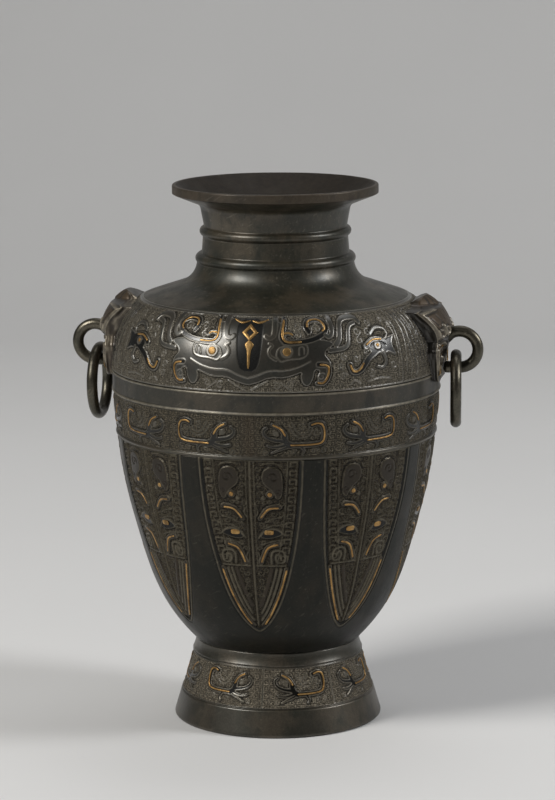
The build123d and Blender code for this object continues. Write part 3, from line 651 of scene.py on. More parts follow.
SHOULDER_LINES = (
    ([(1.0, 1.4), (6.6, 8.0)], 0.45), ([(11.0, 6.8), (14.4, 1.6)], 0.4),
    ([(35.0, 3.0), (36.8, 6.4), (39.0, 3.4)], 0.4), ([(42.0, 4.0), (47.0, 6.0), (52.0, 4.4)], 0.4),
    ([(56.0, 6.0), (57.0, 20.0), (56.8, 34.0), (55.0, 46.0)], 0.35),
    ([(60.6, 46.0), (61.8, 36.0), (61.4, 24.0), (60.4, 8.0)], 0.4),
    ([(63.0, 45.0), (64.4, 36.0), (64.0, 28.0), (65.2, 20.0)], 0.5),
    ([(66.0, 46.0), (67.6, 38.0), (67.0, 31.0)], 0.45), ([(66.2, 14.0), (67.8, 8.0), (66.0, 3.0)], 0.45),
    ([(69.0, 44.0), (70.4, 37.0), (70.0, 30.0), (71.6, 24.0)], 0.5),
    ([(62.6, 4.0), (63.8, 12.0), (62.8, 18.0)], 0.4),
)
SHOULDER_FORMS = (
    (HORN, 1.9, 1.9), (BROW, 1.9, 1.9), (CLAW, 2.0, 1.6), (SIDE_BROW, 2.2, 1.2), (SIDE_BODY, 2.4, 1.9),
    (SPUR, 1.4, 1.0),
)
SHOULDER_BANDS = (
    (HOOK_BAR, 2.3, 1.4), (OUTER_BAR, 2.2, 1.4), (ARCH, 2.0, 1.5), (INNER_ARCH, 1.6, 1.3),
    (SIDE_CREST, 1.3, 0.8), (SIDE_FEATHER, 1.5, 0.9), (UNDER_EYE, 1.1, 0.9),
)
EYE = (13.2, 27.0)
SIDE_EYE = (47.6, 27.6)
SIDE_LID = [(44.6, 27.6), (46.4, 29.8), (49.6, 29.4), (51.4, 27.0)]
PANEL_CUT = [(58.7, 1.0), (58.9, 25.0), (58.5, 48.0)]
PANEL_LINE = [(57.9, 1.0), (58.1, 25.0), (57.7, 48.0)]
SHOULDER_EDGES = (0.55, 48.75)
STREAK = [(-3.6, 47.0), (-1.4, 36.0), (0.0, 23.0), (0.4, 6.0)]
STREAK_TURNS = (63.4, 65.6, 67.8, 70.0, 72.2, 74.4, 76.6)
GOLD_TAOTIE = {
    "brow": [(12.6, 47.0), (11.5, 36.4), (13.2, 32.8), (18.6, 33.2)],
    "spur": [(12.0, 38.6), (14.4, 39.2), (15.6, 37.4)],
    "horn": [(21.2, 42.0), (21.4, 46.4), (26.4, 47.0), (28.2, 42.0), (26.6, 39.2)],
    "claw": [(24.4, 18.0), (27.6, 17.4), (27.4, 11.0), (25.6, 5.2), (23.4, 6.0)],
    "side_head": [(50.0, 31.0), (46.0, 32.0), (42.6, 28.2)],
    "side_tail": [(35.4, 16.6), (36.4, 11.2), (39.0, 12.4), (40.8, 17.2)],
}


def shoulder_carving(azimuths, z):
    """One quarter of the shoulder band, from the nose line towards the handle."""
    scale = math.radians(1) * BAND_MEAN
    drawing = Drawing(*np.meshgrid(azimuths * scale, z - BAND_FOOT))

    def laid(points):
        return [(a * scale, h) for a, h in points]

    for points, start, end in SHOULDER_FORMS:
        drawing.brush("forms", laid(points), start, end)
    for points, start, end in SHOULDER_BANDS:
        drawing.brush("bands", laid(points), start, end)
    drawing.patch("face", laid(FACE), 1)
    drawing.patch("forms", laid(SIDE_FACE))
    drawing.patch("dark", laid(NOSE_PANEL), 1)
    drawing.brush("lines", laid(EYE_FRAME), 0.4)
    drawing.brush("lines", laid(MOUTH), 0.42)
    drawing.brush("lines", laid(EYE_CORNER), 0.4)
    for eye, ring, pupil in ((EYE, 4.1, 3.7), (SIDE_EYE, 2.9, 2.3)):
        drawing.disc("lines", laid([eye])[0], ring)
        drawing.disc("dark", laid([eye])[0], pupil)
    drawing.brush("cuts", laid(SIDE_LID), 0.3)
    for x, h, size, start, hand in SHOULDER_CURLS:
        drawing.brush("lines", curl(x * scale, h, size + 0.5, 1.15, start, hand), 0.32, 0.28)
    for points, half in SHOULDER_LINES:
        drawing.brush("lines", laid(points), half)
    for turn in STREAK_TURNS:
        drawing.brush("dark", laid([(turn + a, h) for a, h in STREAK]), 0.5, 0.2)
    drawing.brush("cuts", laid(PANEL_CUT), 0.35, rounds=1)
    drawing.brush("lines", laid(PANEL_LINE), 0.35, rounds=1)
    drawing.outside("lines", SHOULDER_EDGES)
    return carved(drawing, depth=0.85, sink=0.25, echo=1.0)


# Kui dragons of the belly and foot bands, in mm back from a dragon's middle and mm above the band's foot
DRAGON_TAIL = [(12.6, 22.4), (17.0, 24.0), (21.6, 22.0), (22.0, 12.4), (18.2, 9.6), (-1.6, 9.6)]
DRAGON_EYE = (-11.4, 17.6)
DRAGON_BROW = [(-13.6, 23.0), (-8.0, 20.6), (-5.0, 15.6)]
DRAGON_FORMS = (
    (DRAGON_TAIL, 2.1, 2.1), (DRAGON_BROW, 1.3, 2.1), ([(-1.6, 9.6), (-4.6, 11.0), (-6.0, 15.5)], 2.6, 2.2),
    ([(-6.6, 12.3), (-13.0, 13.0), (-18.4, 15.0), (-20.6, 19.0), (-17.6, 21.0)], 1.7, 1.1),
    ([(-4.0, 10.0), (-12.0, 8.0), (-17.0, 9.2)], 1.5, 1.0),
    ([(6.0, 8.4), (8.4, 5.6), (6.6, 3.4)], 1.4, 0.7),
    ([(-4.0, 8.4), (-10.0, 6.2), (-14.6, 4.2)], 1.3, 0.7),
)
DRAGON_LINES = (
    [(11.5, 21.6), (10.3, 18.0), (6.2, 16.2), (2.6, 18.4), (-0.8, 24.2)],
    [(13.2, 20.2), (11.8, 15.8), (6.2, 13.8), (1.0, 16.2), (-2.6, 22.4)],
)
DRAGON_CURLS = (
    (6.2, 21.0, 2.2, 60, 1), (16.4, 17.6, 2.6, 0, -1), (-9.8, 24.4, 1.4, 90, 1), (15.0, 5.6, 2.0, 0, 1),
    (21.0, 5.4, 1.9, 90, -1), (0.6, 5.0, 1.9, 30, 1), (-18.6, 5.0, 1.8, 0, -1), (25.4, 17.0, 1.8, 90, 1),
)


def draw_dragon(drawing, middle, foot, squeeze, height):
    """One dragon around its middle, made narrower by squeeze and taller by height."""
    def laid(points):
        return [(middle + squeeze * x, foot + height * h) for x, h in points]

    for points, start, end in DRAGON_FORMS:
        drawing.brush("forms", laid(points), start * squeeze, end * squeeze)
    for points in DRAGON_LINES:
        drawing.brush("lines", laid(points), 0.4)
    for x, h, size, start, hand in DRAGON_CURLS:
        spiral = curl(*laid([(x, h)])[0], (size + 0.4) * squeeze, 1.0, start, hand)
        drawing.brush("lines", spiral, 0.3, 0.26)
    drawing.disc("lines", laid([DRAGON_EYE])[0], 2.0 * squeeze)
    drawing.disc("dark", laid([DRAGON_EYE])[0], 1.2 * squeeze)


# The two bands: mean radius, azimuths of the dragons in a quarter, how they are fitted, and plain edges
BELLY_MEAN = 114.6
BELLY_PLACES = (15.0, 43.0, 71.0)
BELLY_STRETCH = 1.06
BELLY_EDGES = (2.6, 30.2)
BELLY_BLOTCH = 5.0
FOOT_MEAN = 64.6
FOOT_PLACES = (23.0, 68.0)
FOOT_SQUEEZE = 0.86
FOOT_BAND = 19.6
FOOT_EDGES = (20.6, 46.4)
FOOT_POSTS = (0.0, 45.5, 90.0)
FOOT_POST_ENDS = (20.4, 46.6)


def belly_carving(azimuths, z):
    """One quarter of the belly band: three dragons that walk towards the middle."""
    scale = math.radians(1) * BELLY_MEAN
    drawing = Drawing(*np.meshgrid(azimuths * scale, z - LEAF_TOP))
    for place in BELLY_PLACES:
        draw_dragon(drawing, place * scale, 0.0, 1.0, BELLY_STRETCH)
    drawing.outside("plain", BELLY_EDGES)
    work = carved(drawing, depth=0.75, sink=0.25, echo=0.8)
    work.masks[..., 3] = np.exp(-(drawing.across / BELLY_BLOTCH) ** 2)
    return work


def foot_carving(azimuths, z):
    """One quarter of the foot band: two dragons, parted by upright lines."""
    scale = math.radians(1) * FOOT_MEAN
    drawing = Drawing(*np.meshgrid(azimuths * scale, z))
    for place in FOOT_PLACES:
        draw_dragon(drawing, place * scale, FOOT_BAND, FOOT_SQUEEZE, 1.0)
    for turn in FOOT_POSTS:
        post = [(turn * scale, h) for h in FOOT_POST_ENDS]
        drawing.brush("lines", post, 0.7, rounds=1)
        drawing.brush("cuts", post, 0.15, rounds=1)
    drawing.outside("plain", FOOT_EDGES)
    return carved(drawing, depth=0.8, sink=0.25, echo=0.8)


# Leaf blades, in mm from the midrib and mm below the leaf's top
LEAF_EDGE = np.array([
    (0, 36.6), (20, 35.4), (40, 33.5), (60, 30.3), (76, 26.8), (90, 23.2), (106, 17.6), (117, 12.0),
    (125, 6.4), (130.5, 0.0),
])
LEAF_OVERRUN = 6.0
SPLIT = 77.2
PANEL_INSET = 10.6
FRET_START = 1.6
FRET_STEP = 6.2
FRET_INSET = 4.0
FRET_UNITS = 12
FRET = [(0.3, 4.4), (0.3, 0.3), (4.7, 0.3), (4.7, 3.3), (2.5, 3.3)]
GOLD_LEAF = (
    [(19.0, 34.4), (12.8, 34.6), (9.5, 37.4), (6.4, 41.8)],
    [(17.4, 61.2), (10.4, 63.2), (7.8, 68.2), (5.6, 74.6)],
    [(22.2, 80.6), (16.8, 99.0), (9.5, 115.4), (4.6, 123.0)],
)
BIRD = [
    (7.6, 13.5), (8.8, 8.0), (13.0, 5.0), (18.6, 5.6), (22.0, 9.6), (22.4, 20.0), (21.0, 27.4),
    (17.8, 28.8), (16.4, 24.4), (13.4, 20.8), (9.4, 18.0),
]
BIRD_CURLS = (((16.0, 12.4, 3.8, 1.15, 180, 1), 0.5), ((19.0, 22.6, 2.4, 1.0, 60, -1), 0.45))
BIRD_DOT = (13.3, 24.8)
BIRD_BEAD = (8.8, 27.4)
UPPER_BROW = [(19.4, 33.6), (12.8, 34.0), (9.2, 37.2), (5.8, 42.4)]
LOWER_BROW = [(18.6, 61.0), (10.4, 62.8), (7.6, 68.0), (5.0, 75.2)]
LEAF_EYE = (11.7, 52.3)
EYE_HOLLOW = (11.7, 52.4)
POINT_BARS = ((3.7, 1.5, "bands"), (7.3, 0.85, "lines"), (10.2, 0.75, "lines"), (13.6, 1.3, "rust"))
POINT_END = 127.0
MIDRIB = [(0.0, -2.0), (0.0, 124.0)]
MIDRIB_SIDE = [(2.7, 1.0), (2.7, SPLIT)]
LID = [(4.6, 56.4), (7.8, 51.6), (13.0, 49.2), (18.8, 50.2), (22.0, 54.2)]
EYE_PATCH = [(4.8, 56.2), (8.0, 51.8), (13.0, 49.4), (18.8, 50.4), (21.8, 54.0), (15.0, 56.6), (10.0, 57.4)]
SQUARE_SPIRAL = [
    (12.4, 75.4), (12.4, 65.8), (21.8, 65.8), (21.8, 75.0), (15.4, 75.0), (15.4, 68.8), (18.8, 68.8),
    (18.8, 72.0),
]
LEAF_CURLS = (
    (5.4, 6.4, 1.8, 0, 1), (5.4, 12.4, 1.7, 90, -1), (5.4, 18.6, 1.9, 180, 1), (6.2, 24.6, 2.0, 0, -1),
    (21.4, 31.4, 1.5, 180, -1), (5.0, 30.8, 1.8, 90, 1), (9.8, 31.0, 1.7, 0, -1), (15.6, 39.0, 1.7, 0, 1),
    (20.4, 38.6, 1.9, 120, -1), (11.8, 42.6, 1.8, 40, 1), (17.0, 44.0, 1.9, 200, -1),
    (21.6, 45.0, 1.6, 0, 1),
    (6.8, 46.8, 1.8, 60, -1), (11.0, 47.4, 1.3, 0, 1), (20.0, 60.6, 1.6, 0, -1), (8.2, 60.0, 1.5, 90, 1),
    (4.6, 64.6, 1.6, 0, -1), (14.4, 60.0, 1.3, 180, 1), (4.6, 83.0, 1.9, 0, 1), (8.2, 80.6, 1.5, 90, -1),
    (4.4, 89.0, 1.8, 60, -1), (5.4, 94.6, 1.6, 180, 1), (4.0, 100.2, 1.4, 0, -1), (12.4, 30.0, 1.3, 0, 1),
)
LEAF_LINES = (
    [(20.6, 41.4), (14.6, 42.0), (10.0, 45.0)], [(21.8, 47.6), (15.0, 46.8), (8.6, 49.6)],
    [(22.0, 57.6), (14.0, 59.0), (6.0, 61.6)], [(3.6, 34.0), (5.0, 37.4), (3.4, 40.6)],
    [(3.4, 67.0), (5.0, 70.6), (3.4, 74.0)], [(8.6, 3.4), (13.0, 2.2), (18.6, 2.8), (22.0, 5.0)],
)


def leaf_edge(drop):
    """Half width of a leaf blade at a drop below its top."""
    fine = softened(LEAF_EDGE, 3)
    return np.interp(drop, fine[:, 0], fine[:, 1])


def leaf_carving(azimuths, z):
    """Half a leaf blade, from its midrib to the middle of the plain strip beside it."""
    radius = radius_at(LEAF_CURVE, z)
    across = radius[:, None] * np.sin(np.radians(azimuths))[None, :]
    drop = np.broadcast_to((LEAF_TOP - z)[:, None], across.shape)
    drawing = Drawing(across, drop)
    rim = [(half, down) for down, half in LEAF_EDGE]
    whole = rim + [(-half, down) for half, down in rim[::-1]][1:]
    top_half = LEAF_EDGE[0, 1]
    whole = [(top_half, -LEAF_OVERRUN)] + whole + [(-top_half, -LEAF_OVERRUN)]
    drawing.patch("blade", whole, 2)
    blade = drawing.layer("blade")

    def inset(off, low, high):
        return [(max(leaf_edge(d) - off, 0.0), d) for d in np.arange(low, high, 2.0)]

    # Fret between the rim and the inner panel
    for number in range(FRET_UNITS):
        top = FRET_START + number * FRET_STEP
        hook = [(leaf_edge(top + h) - FRET_INSET - w, top + h) for w, h in FRET]
        drawing.brush("lines", hook, 0.42, rounds=0)
    drawing.brush("lines", inset(PANEL_INSET, 1.0, SPLIT), 0.35, rounds=1)
    # Inner panel
    drawing.patch("bands", BIRD)
    for spiral, half in BIRD_CURLS:
        drawing.brush("cuts", curl(*spiral), half)
    drawing.brush("bands", UPPER_BROW, 2.0, 1.5)
    drawing.brush("bands", LOWER_BROW, 2.0, 1.6)
    drawing.patch("forms", EYE_PATCH)
    drawing.brush("lines", LID, 0.55)
    drawing.disc("dark", EYE_HOLLOW, 4.4, 0.66)
    drawing.disc("bands", BIRD_DOT, 2.7)
    drawing.disc("lines", BIRD_BEAD, 1.5)
    drawing.brush("lines", SQUARE_SPIRAL, 0.75, rounds=2)
    for x, d, size, start, hand in LEAF_CURLS:
        drawing.brush("lines", curl(x, d, size + 0.4, 0.95, start, hand), 0.34, 0.28)
    for points in LEAF_LINES:
        drawing.brush("lines", points, 0.42)
    drawing.brush("lines", [(2.4, SPLIT), (leaf_edge(SPLIT) - 4.6, SPLIT)], 0.6, rounds=0)
    # Bars of the point
    for off, half, layer in POINT_BARS:
        bar = [p for p in inset(off, SPLIT + 2.6, POINT_END) if p[0] > 2.6]
        drawing.brush(layer, bar, half, rounds=1)
    # Midrib
    drawing.brush("lines", MIDRIB, 0.6, rounds=0)
    drawing.brush("lines", MIDRIB_SIDE, 0.32, rounds=0)
    # Rim with its bright edge, the moat inside it and the crease outside; both grooves are darkened with
    # painted shade
    in_point = ease(SPLIT - 3.0, SPLIT + 3.0, drop)
    moat_middle = 2.5 - 0.6 * in_point
    moat_half = 0.6 - 0.15 * in_point
    rim_line = fade(-0.2, 0.3, np.abs(blade + 0.55) - 0.45)
    moat_and_shadow = fade(-0.25, 0.25, np.abs(blade + moat_middle) - moat_half)
    crease_and_shade = fade(-0.15, 0.25, np.abs(blade - 0.5) - 0.3)
    inside = fade(-0.3, 0.3, blade + moat_middle + moat_half)
    top_line = fade(0.5, 1.1, np.abs(drop - 0.4)) * fade(-0.3, 0.3, blade)
    work = carved(drawing, depth=1.05, sink=0.3, echo=0.35)
    work.masks[..., 3] = np.maximum(work.masks[..., 3], 0.7 * drawing.fill("bands"))
    work.height = work.height * inside * (1.0 - top_line) - 1.1 * moat_and_shadow - 0.5 * crease_and_shade
    work.masks *= (inside * (1.0 - top_line))[..., None]
    field, bead = work.masks[..., 0], work.masks[..., 1]
    # The moat and the crease go into the dark field: painted shade in the grooves.
    work.masks[..., 0] = np.maximum.reduce([field, 0.95 * moat_and_shadow, 0.7 * crease_and_shade])
    work.masks[..., 1] = np.maximum.reduce([bead, 0.85 * rim_line, 0.7 * top_line])
    return work


# Gold inlay
SECTION = np.array([
    (-1.0, -0.4), (-0.94, -0.06), (-0.7, 0.09), (-0.3, 0.17), (0.3, 0.17), (0.7, 0.09), (0.94, -0.06),
    (1.0, -0.4), (0.5, -0.55), (-0.5, -0.55),
])
SPOT_SECTION = (
    (0.9, -0.55), (1.0, -0.35), (0.98, -0.03), (0.88, 0.1), (0.6, 0.17), (0.25, 0.2), (0.04, 0.2),
)
FRAME_SECTION = np.array([
    (0.0, -0.4), (0.04, -0.04), (0.16, 0.1), (0.5, 0.17), (0.84, 0.1), (0.96, -0.04), (1.0, -0.4),
    (0.8, -0.55), (0.2, -0.55),
])
GOLD_STEP = 0.55
GOLD_HALF = 0.72
DRAGON_GOLD_HALF = 0.62


class GoldWork:
    """Gold lines and spots that lie on one surface, gathered into one piece."""

    def __init__(self, surface):
        self.surface = surface
        self.parts = []

    def line(self, points, half=GOLD_HALF, rounds=3, wave=0.07):
        """A hammered wire of gold with rounded ends. points may carry their own half widths."""
        given = np.array(points, float)
        if given.shape[1] == 2:
            given = np.column_stack([given, np.full(len(given), half)])
        way = softened(given, rounds)
        places, _ = self.surface(way[:, 0], way[:, 1])
        share = walked(places)
        at = np.linspace(0, share[-1], max(int(share[-1] / GOLD_STEP), 10))
        even = np.stack([np.interp(at, share, column) for column in way.T], 1)
        places, normals = self.surface(even[:, 0], even[:, 1])
        along = np.gradient(places, axis=0)
        side = unit(np.cross(along, normals))
        widest = even[:, 2].max()
        ends = np.clip(np.minimum(at, share[-1] - at) / widest, 0.0, 1.0)
        taper = np.sqrt(1 - (1 - ends) ** 2 * 0.9)
        wide = even[:, 2] * taper * (1 + wave * np.sin(at * 1.9) * np.cos(at * 0.7 + 1))
        lift = 1.0 - 0.5 * (1 - ends) ** 2
        rows = places[:, None] + side[:, None] * (wide[:, None] * SECTION[None, :, 0])[..., None]
        out = SECTION[None, :, 1] * np.where(SECTION[:, 1] > 0, lift[:, None], 1.0)
        rows = rows + normals[:, None] * out[..., None]
        self.parts.append((rows, False))

    def spot(self, centre, size, square=2.0):
        """A round or oval cap of gold. A higher square makes it boxier."""
        turn = np.linspace(0, 2 * math.pi, 28, endpoint=False)
        place, normal = self.surface(np.array([centre[0]]), np.array([centre[1]]))
        place, normal = place[0], normal[0]
        across = np.cross([0.0, 0.0, 1.0], normal)
        across /= np.linalg.norm(across)
        up = np.cross(normal, across)
        wide, tall = size if isinstance(size, tuple) else (size, size)
        run = np.sign(np.cos(turn)) * np.abs(np.cos(turn)) ** (2.0 / square)
        rise = np.sign(np.sin(turn)) * np.abs(np.sin(turn)) ** (2.0 / square)
        rows = []
        for share, lift in SPOT_SECTION:
            edge = across * (run * wide * share)[:, None] + up * (rise * tall * share)[:, None]
            rows.append(place + edge + normal * lift)
        self.parts.append((np.array(rows), False))

    def frame(self, outer, inner):
        """A flat frame of gold between two outlines with the same number of corners."""
        share = np.linspace(0, 1, 9)[:-1, None]

        def walk(ring):
            ring = np.array(ring, float)
            return np.concatenate([a + (b - a) * share for a, b in zip(ring, np.roll(ring, -1, 0))])

        rows = []
        cut, lift = FRAME_SECTION.T
        for (ax, az), (bx, bz) in zip(walk(outer), walk(inner)):
            places, normals = self.surface(ax + (bx - ax) * cut, az + (bz - az) * cut)
            rows.append(places + normals * lift[:, None])
        self.parts.append((np.array(rows), True))

    def built(self, name, material, replaces, turn=0.0):
        """The finished piece, turned about the vase's axis, each part with its own square of the bake."""
        pile = Pile()
        side = math.ceil(math.sqrt(len(self.parts)))
        for number, (rows, closed) in enumerate(self.parts):
            row, column = divmod(number, side)
            low = (column / side, row / side * BAKE_TOP)
            high = ((column + 0.94) / side, (row + 0.94) / side * BAKE_TOP)
            pile.add(rows, wrap_rows=closed, cap_rows=not closed, room=low + high)
        return pile.turned(turn).built(name, material, "vessel", "gold", replaces)


def across_to_turn(curve, points, middle=0.0, side=1):
    """Flat (mm, height) points as (degrees, height) on a zone, around a middle azimuth."""
    return [(side * (middle + math.degrees(math.asin(x / radius_at(curve, z)))), z) for x, z in points]


# Gold of the nose in mm from its line and above the band's foot, with half widths; the blade is on the line
CRESCENT = ((-11.4, 47.2, 0.5), (-6.0, 44.8, 0.95), (-0.6, 46.4, 0.6))
DIAMOND_RISE = 39.3
DIAMOND_OUTER = (5.6, 5.4)
DIAMOND_INNER = (2.5, 2.4)
NOSE_BLADE = (
    (34.7, 0.4), (33.1, 2.2), (31.5, 3.3), (29.5, 2.2), (27.1, 1.25), (21.5, 0.95), (16.0, 0.75),
)
SPUR_HALF = 0.7


def shoulder_gold():
    """The gold of one taotie: crescents, face lines, eyes, and the diamond and blade of the nose."""
    work = GoldWork(lambda a, z: on_wall(BAND_CURVE, a, z))

    def raised(points, side=1):
        return [(side * a, BAND_FOOT + h) for a, h in points]

    def diamond(wide, tall):
        rise = BAND_FOOT + DIAMOND_RISE
        corners = [(wide, rise), (0, rise + tall), (-wide, rise), (0, rise - tall)]
        return across_to_turn(BAND_CURVE, corners)

    crescent = across_to_turn(BAND_CURVE, [(x, BAND_FOOT + h) for x, h, _ in CRESCENT])
    for side in (-1, 1):
        work.line([(side * a, z, half) for (a, z), (_, _, half) in zip(crescent, CRESCENT)])
        for name, points in GOLD_TAOTIE.items():
            work.line(raised(points, side), SPUR_HALF if name == "spur" else GOLD_HALF)
        work.spot(raised([EYE], side)[0], 2.85)
        work.spot(raised([SIDE_EYE], side)[0], 1.35)
    work.frame(diamond(*DIAMOND_OUTER), diamond(*DIAMOND_INNER))
    work.line([(0, BAND_FOOT + h, half) for h, half in NOSE_BLADE], rounds=2, wave=0.0)
    return work


def dragon_gold(curve, places, foot, squeeze, height):
    """The gold tails and brows of all the dragons of a band."""
    work = GoldWork(lambda a, z: on_wall(curve, a, z))
    for turn in (0, 180):
        for place in places:
            for side in (-1, 1):
                for line in (DRAGON_TAIL, DRAGON_BROW):
                    points = [(squeeze * x, foot + height * h) for x, h in line]
                    laid = across_to_turn(curve, points, place, side)
                    work.line([(a + turn, z) for a, z in laid], DRAGON_GOLD_HALF)
    return work


def leaf_gold():
    """The gold of one leaf blade: brows, edges of the point, dots and eyes."""
    work = GoldWork(lambda a, z: on_wall(LEAF_CURVE, a, z))

    def laid(points, side):
        return across_to_turn(LEAF_CURVE, [(x, LEAF_TOP - d) for x, d in points], 0.0, side)

    for side in (-1, 1):
        for line in GOLD_LEAF:
            work.line(laid(line, side), 0.7)
        work.spot(laid([BIRD_DOT], side)[0], 1.6)
        work.spot(laid([LEAF_EYE], side)[0], (3.2, 1.75), 3.5)
    return work


# Beast mask of the right handle: rows from chin to crown, each a loop of front, sides and back
MASK_WIDTH = np.array([
    (246.0, 18.0), (247.6, 21.4), (252.0, 24.6), (260.0, 26.6), (266.4, 28.6), (268.8, 28.4), (272.0, 26.0),
    (274.6, 24.2), (276.4, 25.0), (280.0, 27.0), (288.0, 30.4), (295.4, 33.6), (296.8, 33.0), (297.6, 24.0),
    (298.4, 15.0), (301.2, 13.2), (303.4, 10.0), (304.8, 5.6),
])
MASK_MIDDLE = np.array([
    (246.0, 117.6), (257.0, 118.6), (266.0, 121.5), (274.0, 124.0), (281.0, 124.7), (284.0, 124.2),
    (289.4, 122.0), (294.8, 118.8), (298.6, 116.0), (301.4, 113.0), (303.4, 110.2), (304.8, 107.4),
])
HORN_RIM = [(24.0, 277.0), (26.0, 281.4), (29.2, 288.6), (31.8, 294.8)]
HORN_TOP = [(31.8, 294.8), (24.0, 296.2), (16.0, 296.6)]
HORN_CURL = [(25.8, 282.6), (23.6, 277.8), (19.6, 276.8), (17.2, 279.8), (18.4, 283.2), (21.2, 282.8)]
NOSE_CURL = [(16.6, 285.6), (14.6, 279.6), (11.2, 277.8), (8.2, 280.2), (8.8, 284.0), (11.6, 283.8)]
CHEEK = [
    (25.0, 269.0), (26.0, 261.0), (22.6, 253.0), (17.4, 250.6), (14.0, 253.6), (15.6, 257.4), (18.4, 256.4),
]
EYELID = [(6.6, 270.8), (13.6, 273.2), (21.6, 272.2)]
SNOUT = [(9.0, 262.0), (11.4, 256.0), (9.6, 249.0)]
MASK_LINES = (
    (HORN_RIM, 0.8, 0.9), (HORN_TOP, 0.9, 0.9), (HORN_CURL, 1.5, 0.8), (NOSE_CURL, 1.5, 0.8),
    (CHEEK, 1.5, 0.8), (EYELID, 1.3, 0.9), (SNOUT, 1.0, 0.7),
)
MASK_EYE = (14.4, 267.4)
MASK_EYE_SIZE = 3.4
MASK_CUTS = (
    [(0.0, 299.4), (0.0, 304.6)], [(5.6, 299.0), (4.4, 304.4)], [(10.0, 299.0), (7.6, 303.6)],
    [(26.4, 291.6), (22.6, 286.0)], [(19.6, 293.6), (16.4, 288.6)], [(12.0, 294.2), (10.2, 289.4)],
    [(4.4, 295.0), (3.4, 290.2)], [(20.6, 262.0), (17.0, 260.0), (13.6, 261.2)],
)
FACE_TOP = (271.0, 275.0)
NOTCH_LOW = (272.6, 274.2)
NOTCH_HIGH = (276.0, 280.0)
HORN_FOOT = (276.0, 279.0)
PLATE_TOP = (296.4, 298.0)
DOME_FOOT = (297.0, 299.4)
CROWN_EDGE = (299.6, 301.6)
BROW_Z = 297.6
CROWN_FOOT = 300.6
CROWN_TALL = 4.2
CROWN_BACK = 98.4
CROWN_LEAN = 7.4
EYE_GOLD = [
    (8.6, 270.4), (14.0, 271.4), (20.2, 270.8), (18.4, 267.0), (15.4, 263.6), (11.4, 266.6), (8.6, 270.4),
]
MASK_GOLD = (
    (EYE_GOLD, 0.62, 1),
    ([(24.4, 267.0), (24.8, 258.0), (20.6, 250.0)], 0.7, 3),
    ([(30.4, 293.6), (29.0, 291.0), (27.6, 288.4)], 0.55, 1),
)


def mask_wall(y, z):
    """X of the mask's back: just inside the vase's wall, and upright behind the crown."""
    over = np.clip(z - BAND_FOOT, 0.0, None)
    radius = BAND_CENTRE + BAND_WIDE * np.sqrt(np.clip(1 - (over / BAND_TALL) ** 2, 0, 1))
    wall = np.sqrt(np.clip(radius**2 - y**2, 0, None)) - MASK_SINK
    crown = CROWN_BACK + CROWN_LEAN * np.clip((z - CROWN_FOOT) / CROWN_TALL, 0, 1) ** 1.5
    return wall + (crown - wall) * ease(*CROWN_EDGE, z)


def mask_front(y, z):
    """X of the mask's front before its ornament."""
    middle = np.interp(z, *softened(MASK_MIDDLE, 2).T)
    head = MASK_HEAD_X + np.sqrt((middle - MASK_HEAD_X) ** 2 - y**2)
    face = MASK_FACE_X + (middle - MASK_FACE_X) * np.exp(-((y / 8.0) ** 2))
    dome = 0.045 * y**2 * ease(*DOME_FOOT, z)
    return face + (head - face) * ease(*FACE_TOP, z) - dome


def mask_ornament(y, z):
    """Heights of the mask front's ornament, where it is high, and where it is cut or dark: notch, brow and
    painted shadow.
    """
    drawing = Drawing(np.abs(y), z)
    for points, start, end in MASK_LINES:
        drawing.brush("high", points, start, end)
    drawing.disc("eye", MASK_EYE, MASK_EYE_SIZE, 0.9)
    for points in MASK_CUTS:
        drawing.brush("cut", points, 0.4)
    high = fade(-1.0, 0.5, drawing.layer("high"))
    # A ring beside the raised lines is cut down a little and darkened: painted shadow.
    shadow = fade(0.6, 1.5, drawing.layer("high")) * (1.0 - high)
    eye = np.clip(-drawing.layer("eye") / MASK_EYE_SIZE, 0, 1)
    cut = np.maximum(drawing.fill("cut", 0.4), 0.85 * shadow)
    notch = 0.9 * ease(*NOTCH_LOW, z) * fade(*NOTCH_HIGH, z)
    brow = np.exp(-((z - BROW_Z) ** 2))
    height = 1.3 * high + 1.8 * np.sqrt(eye) - 0.55 * cut - notch - brow
    return height, high, np.maximum(cut, np.minimum(notch + brow, 1.0))


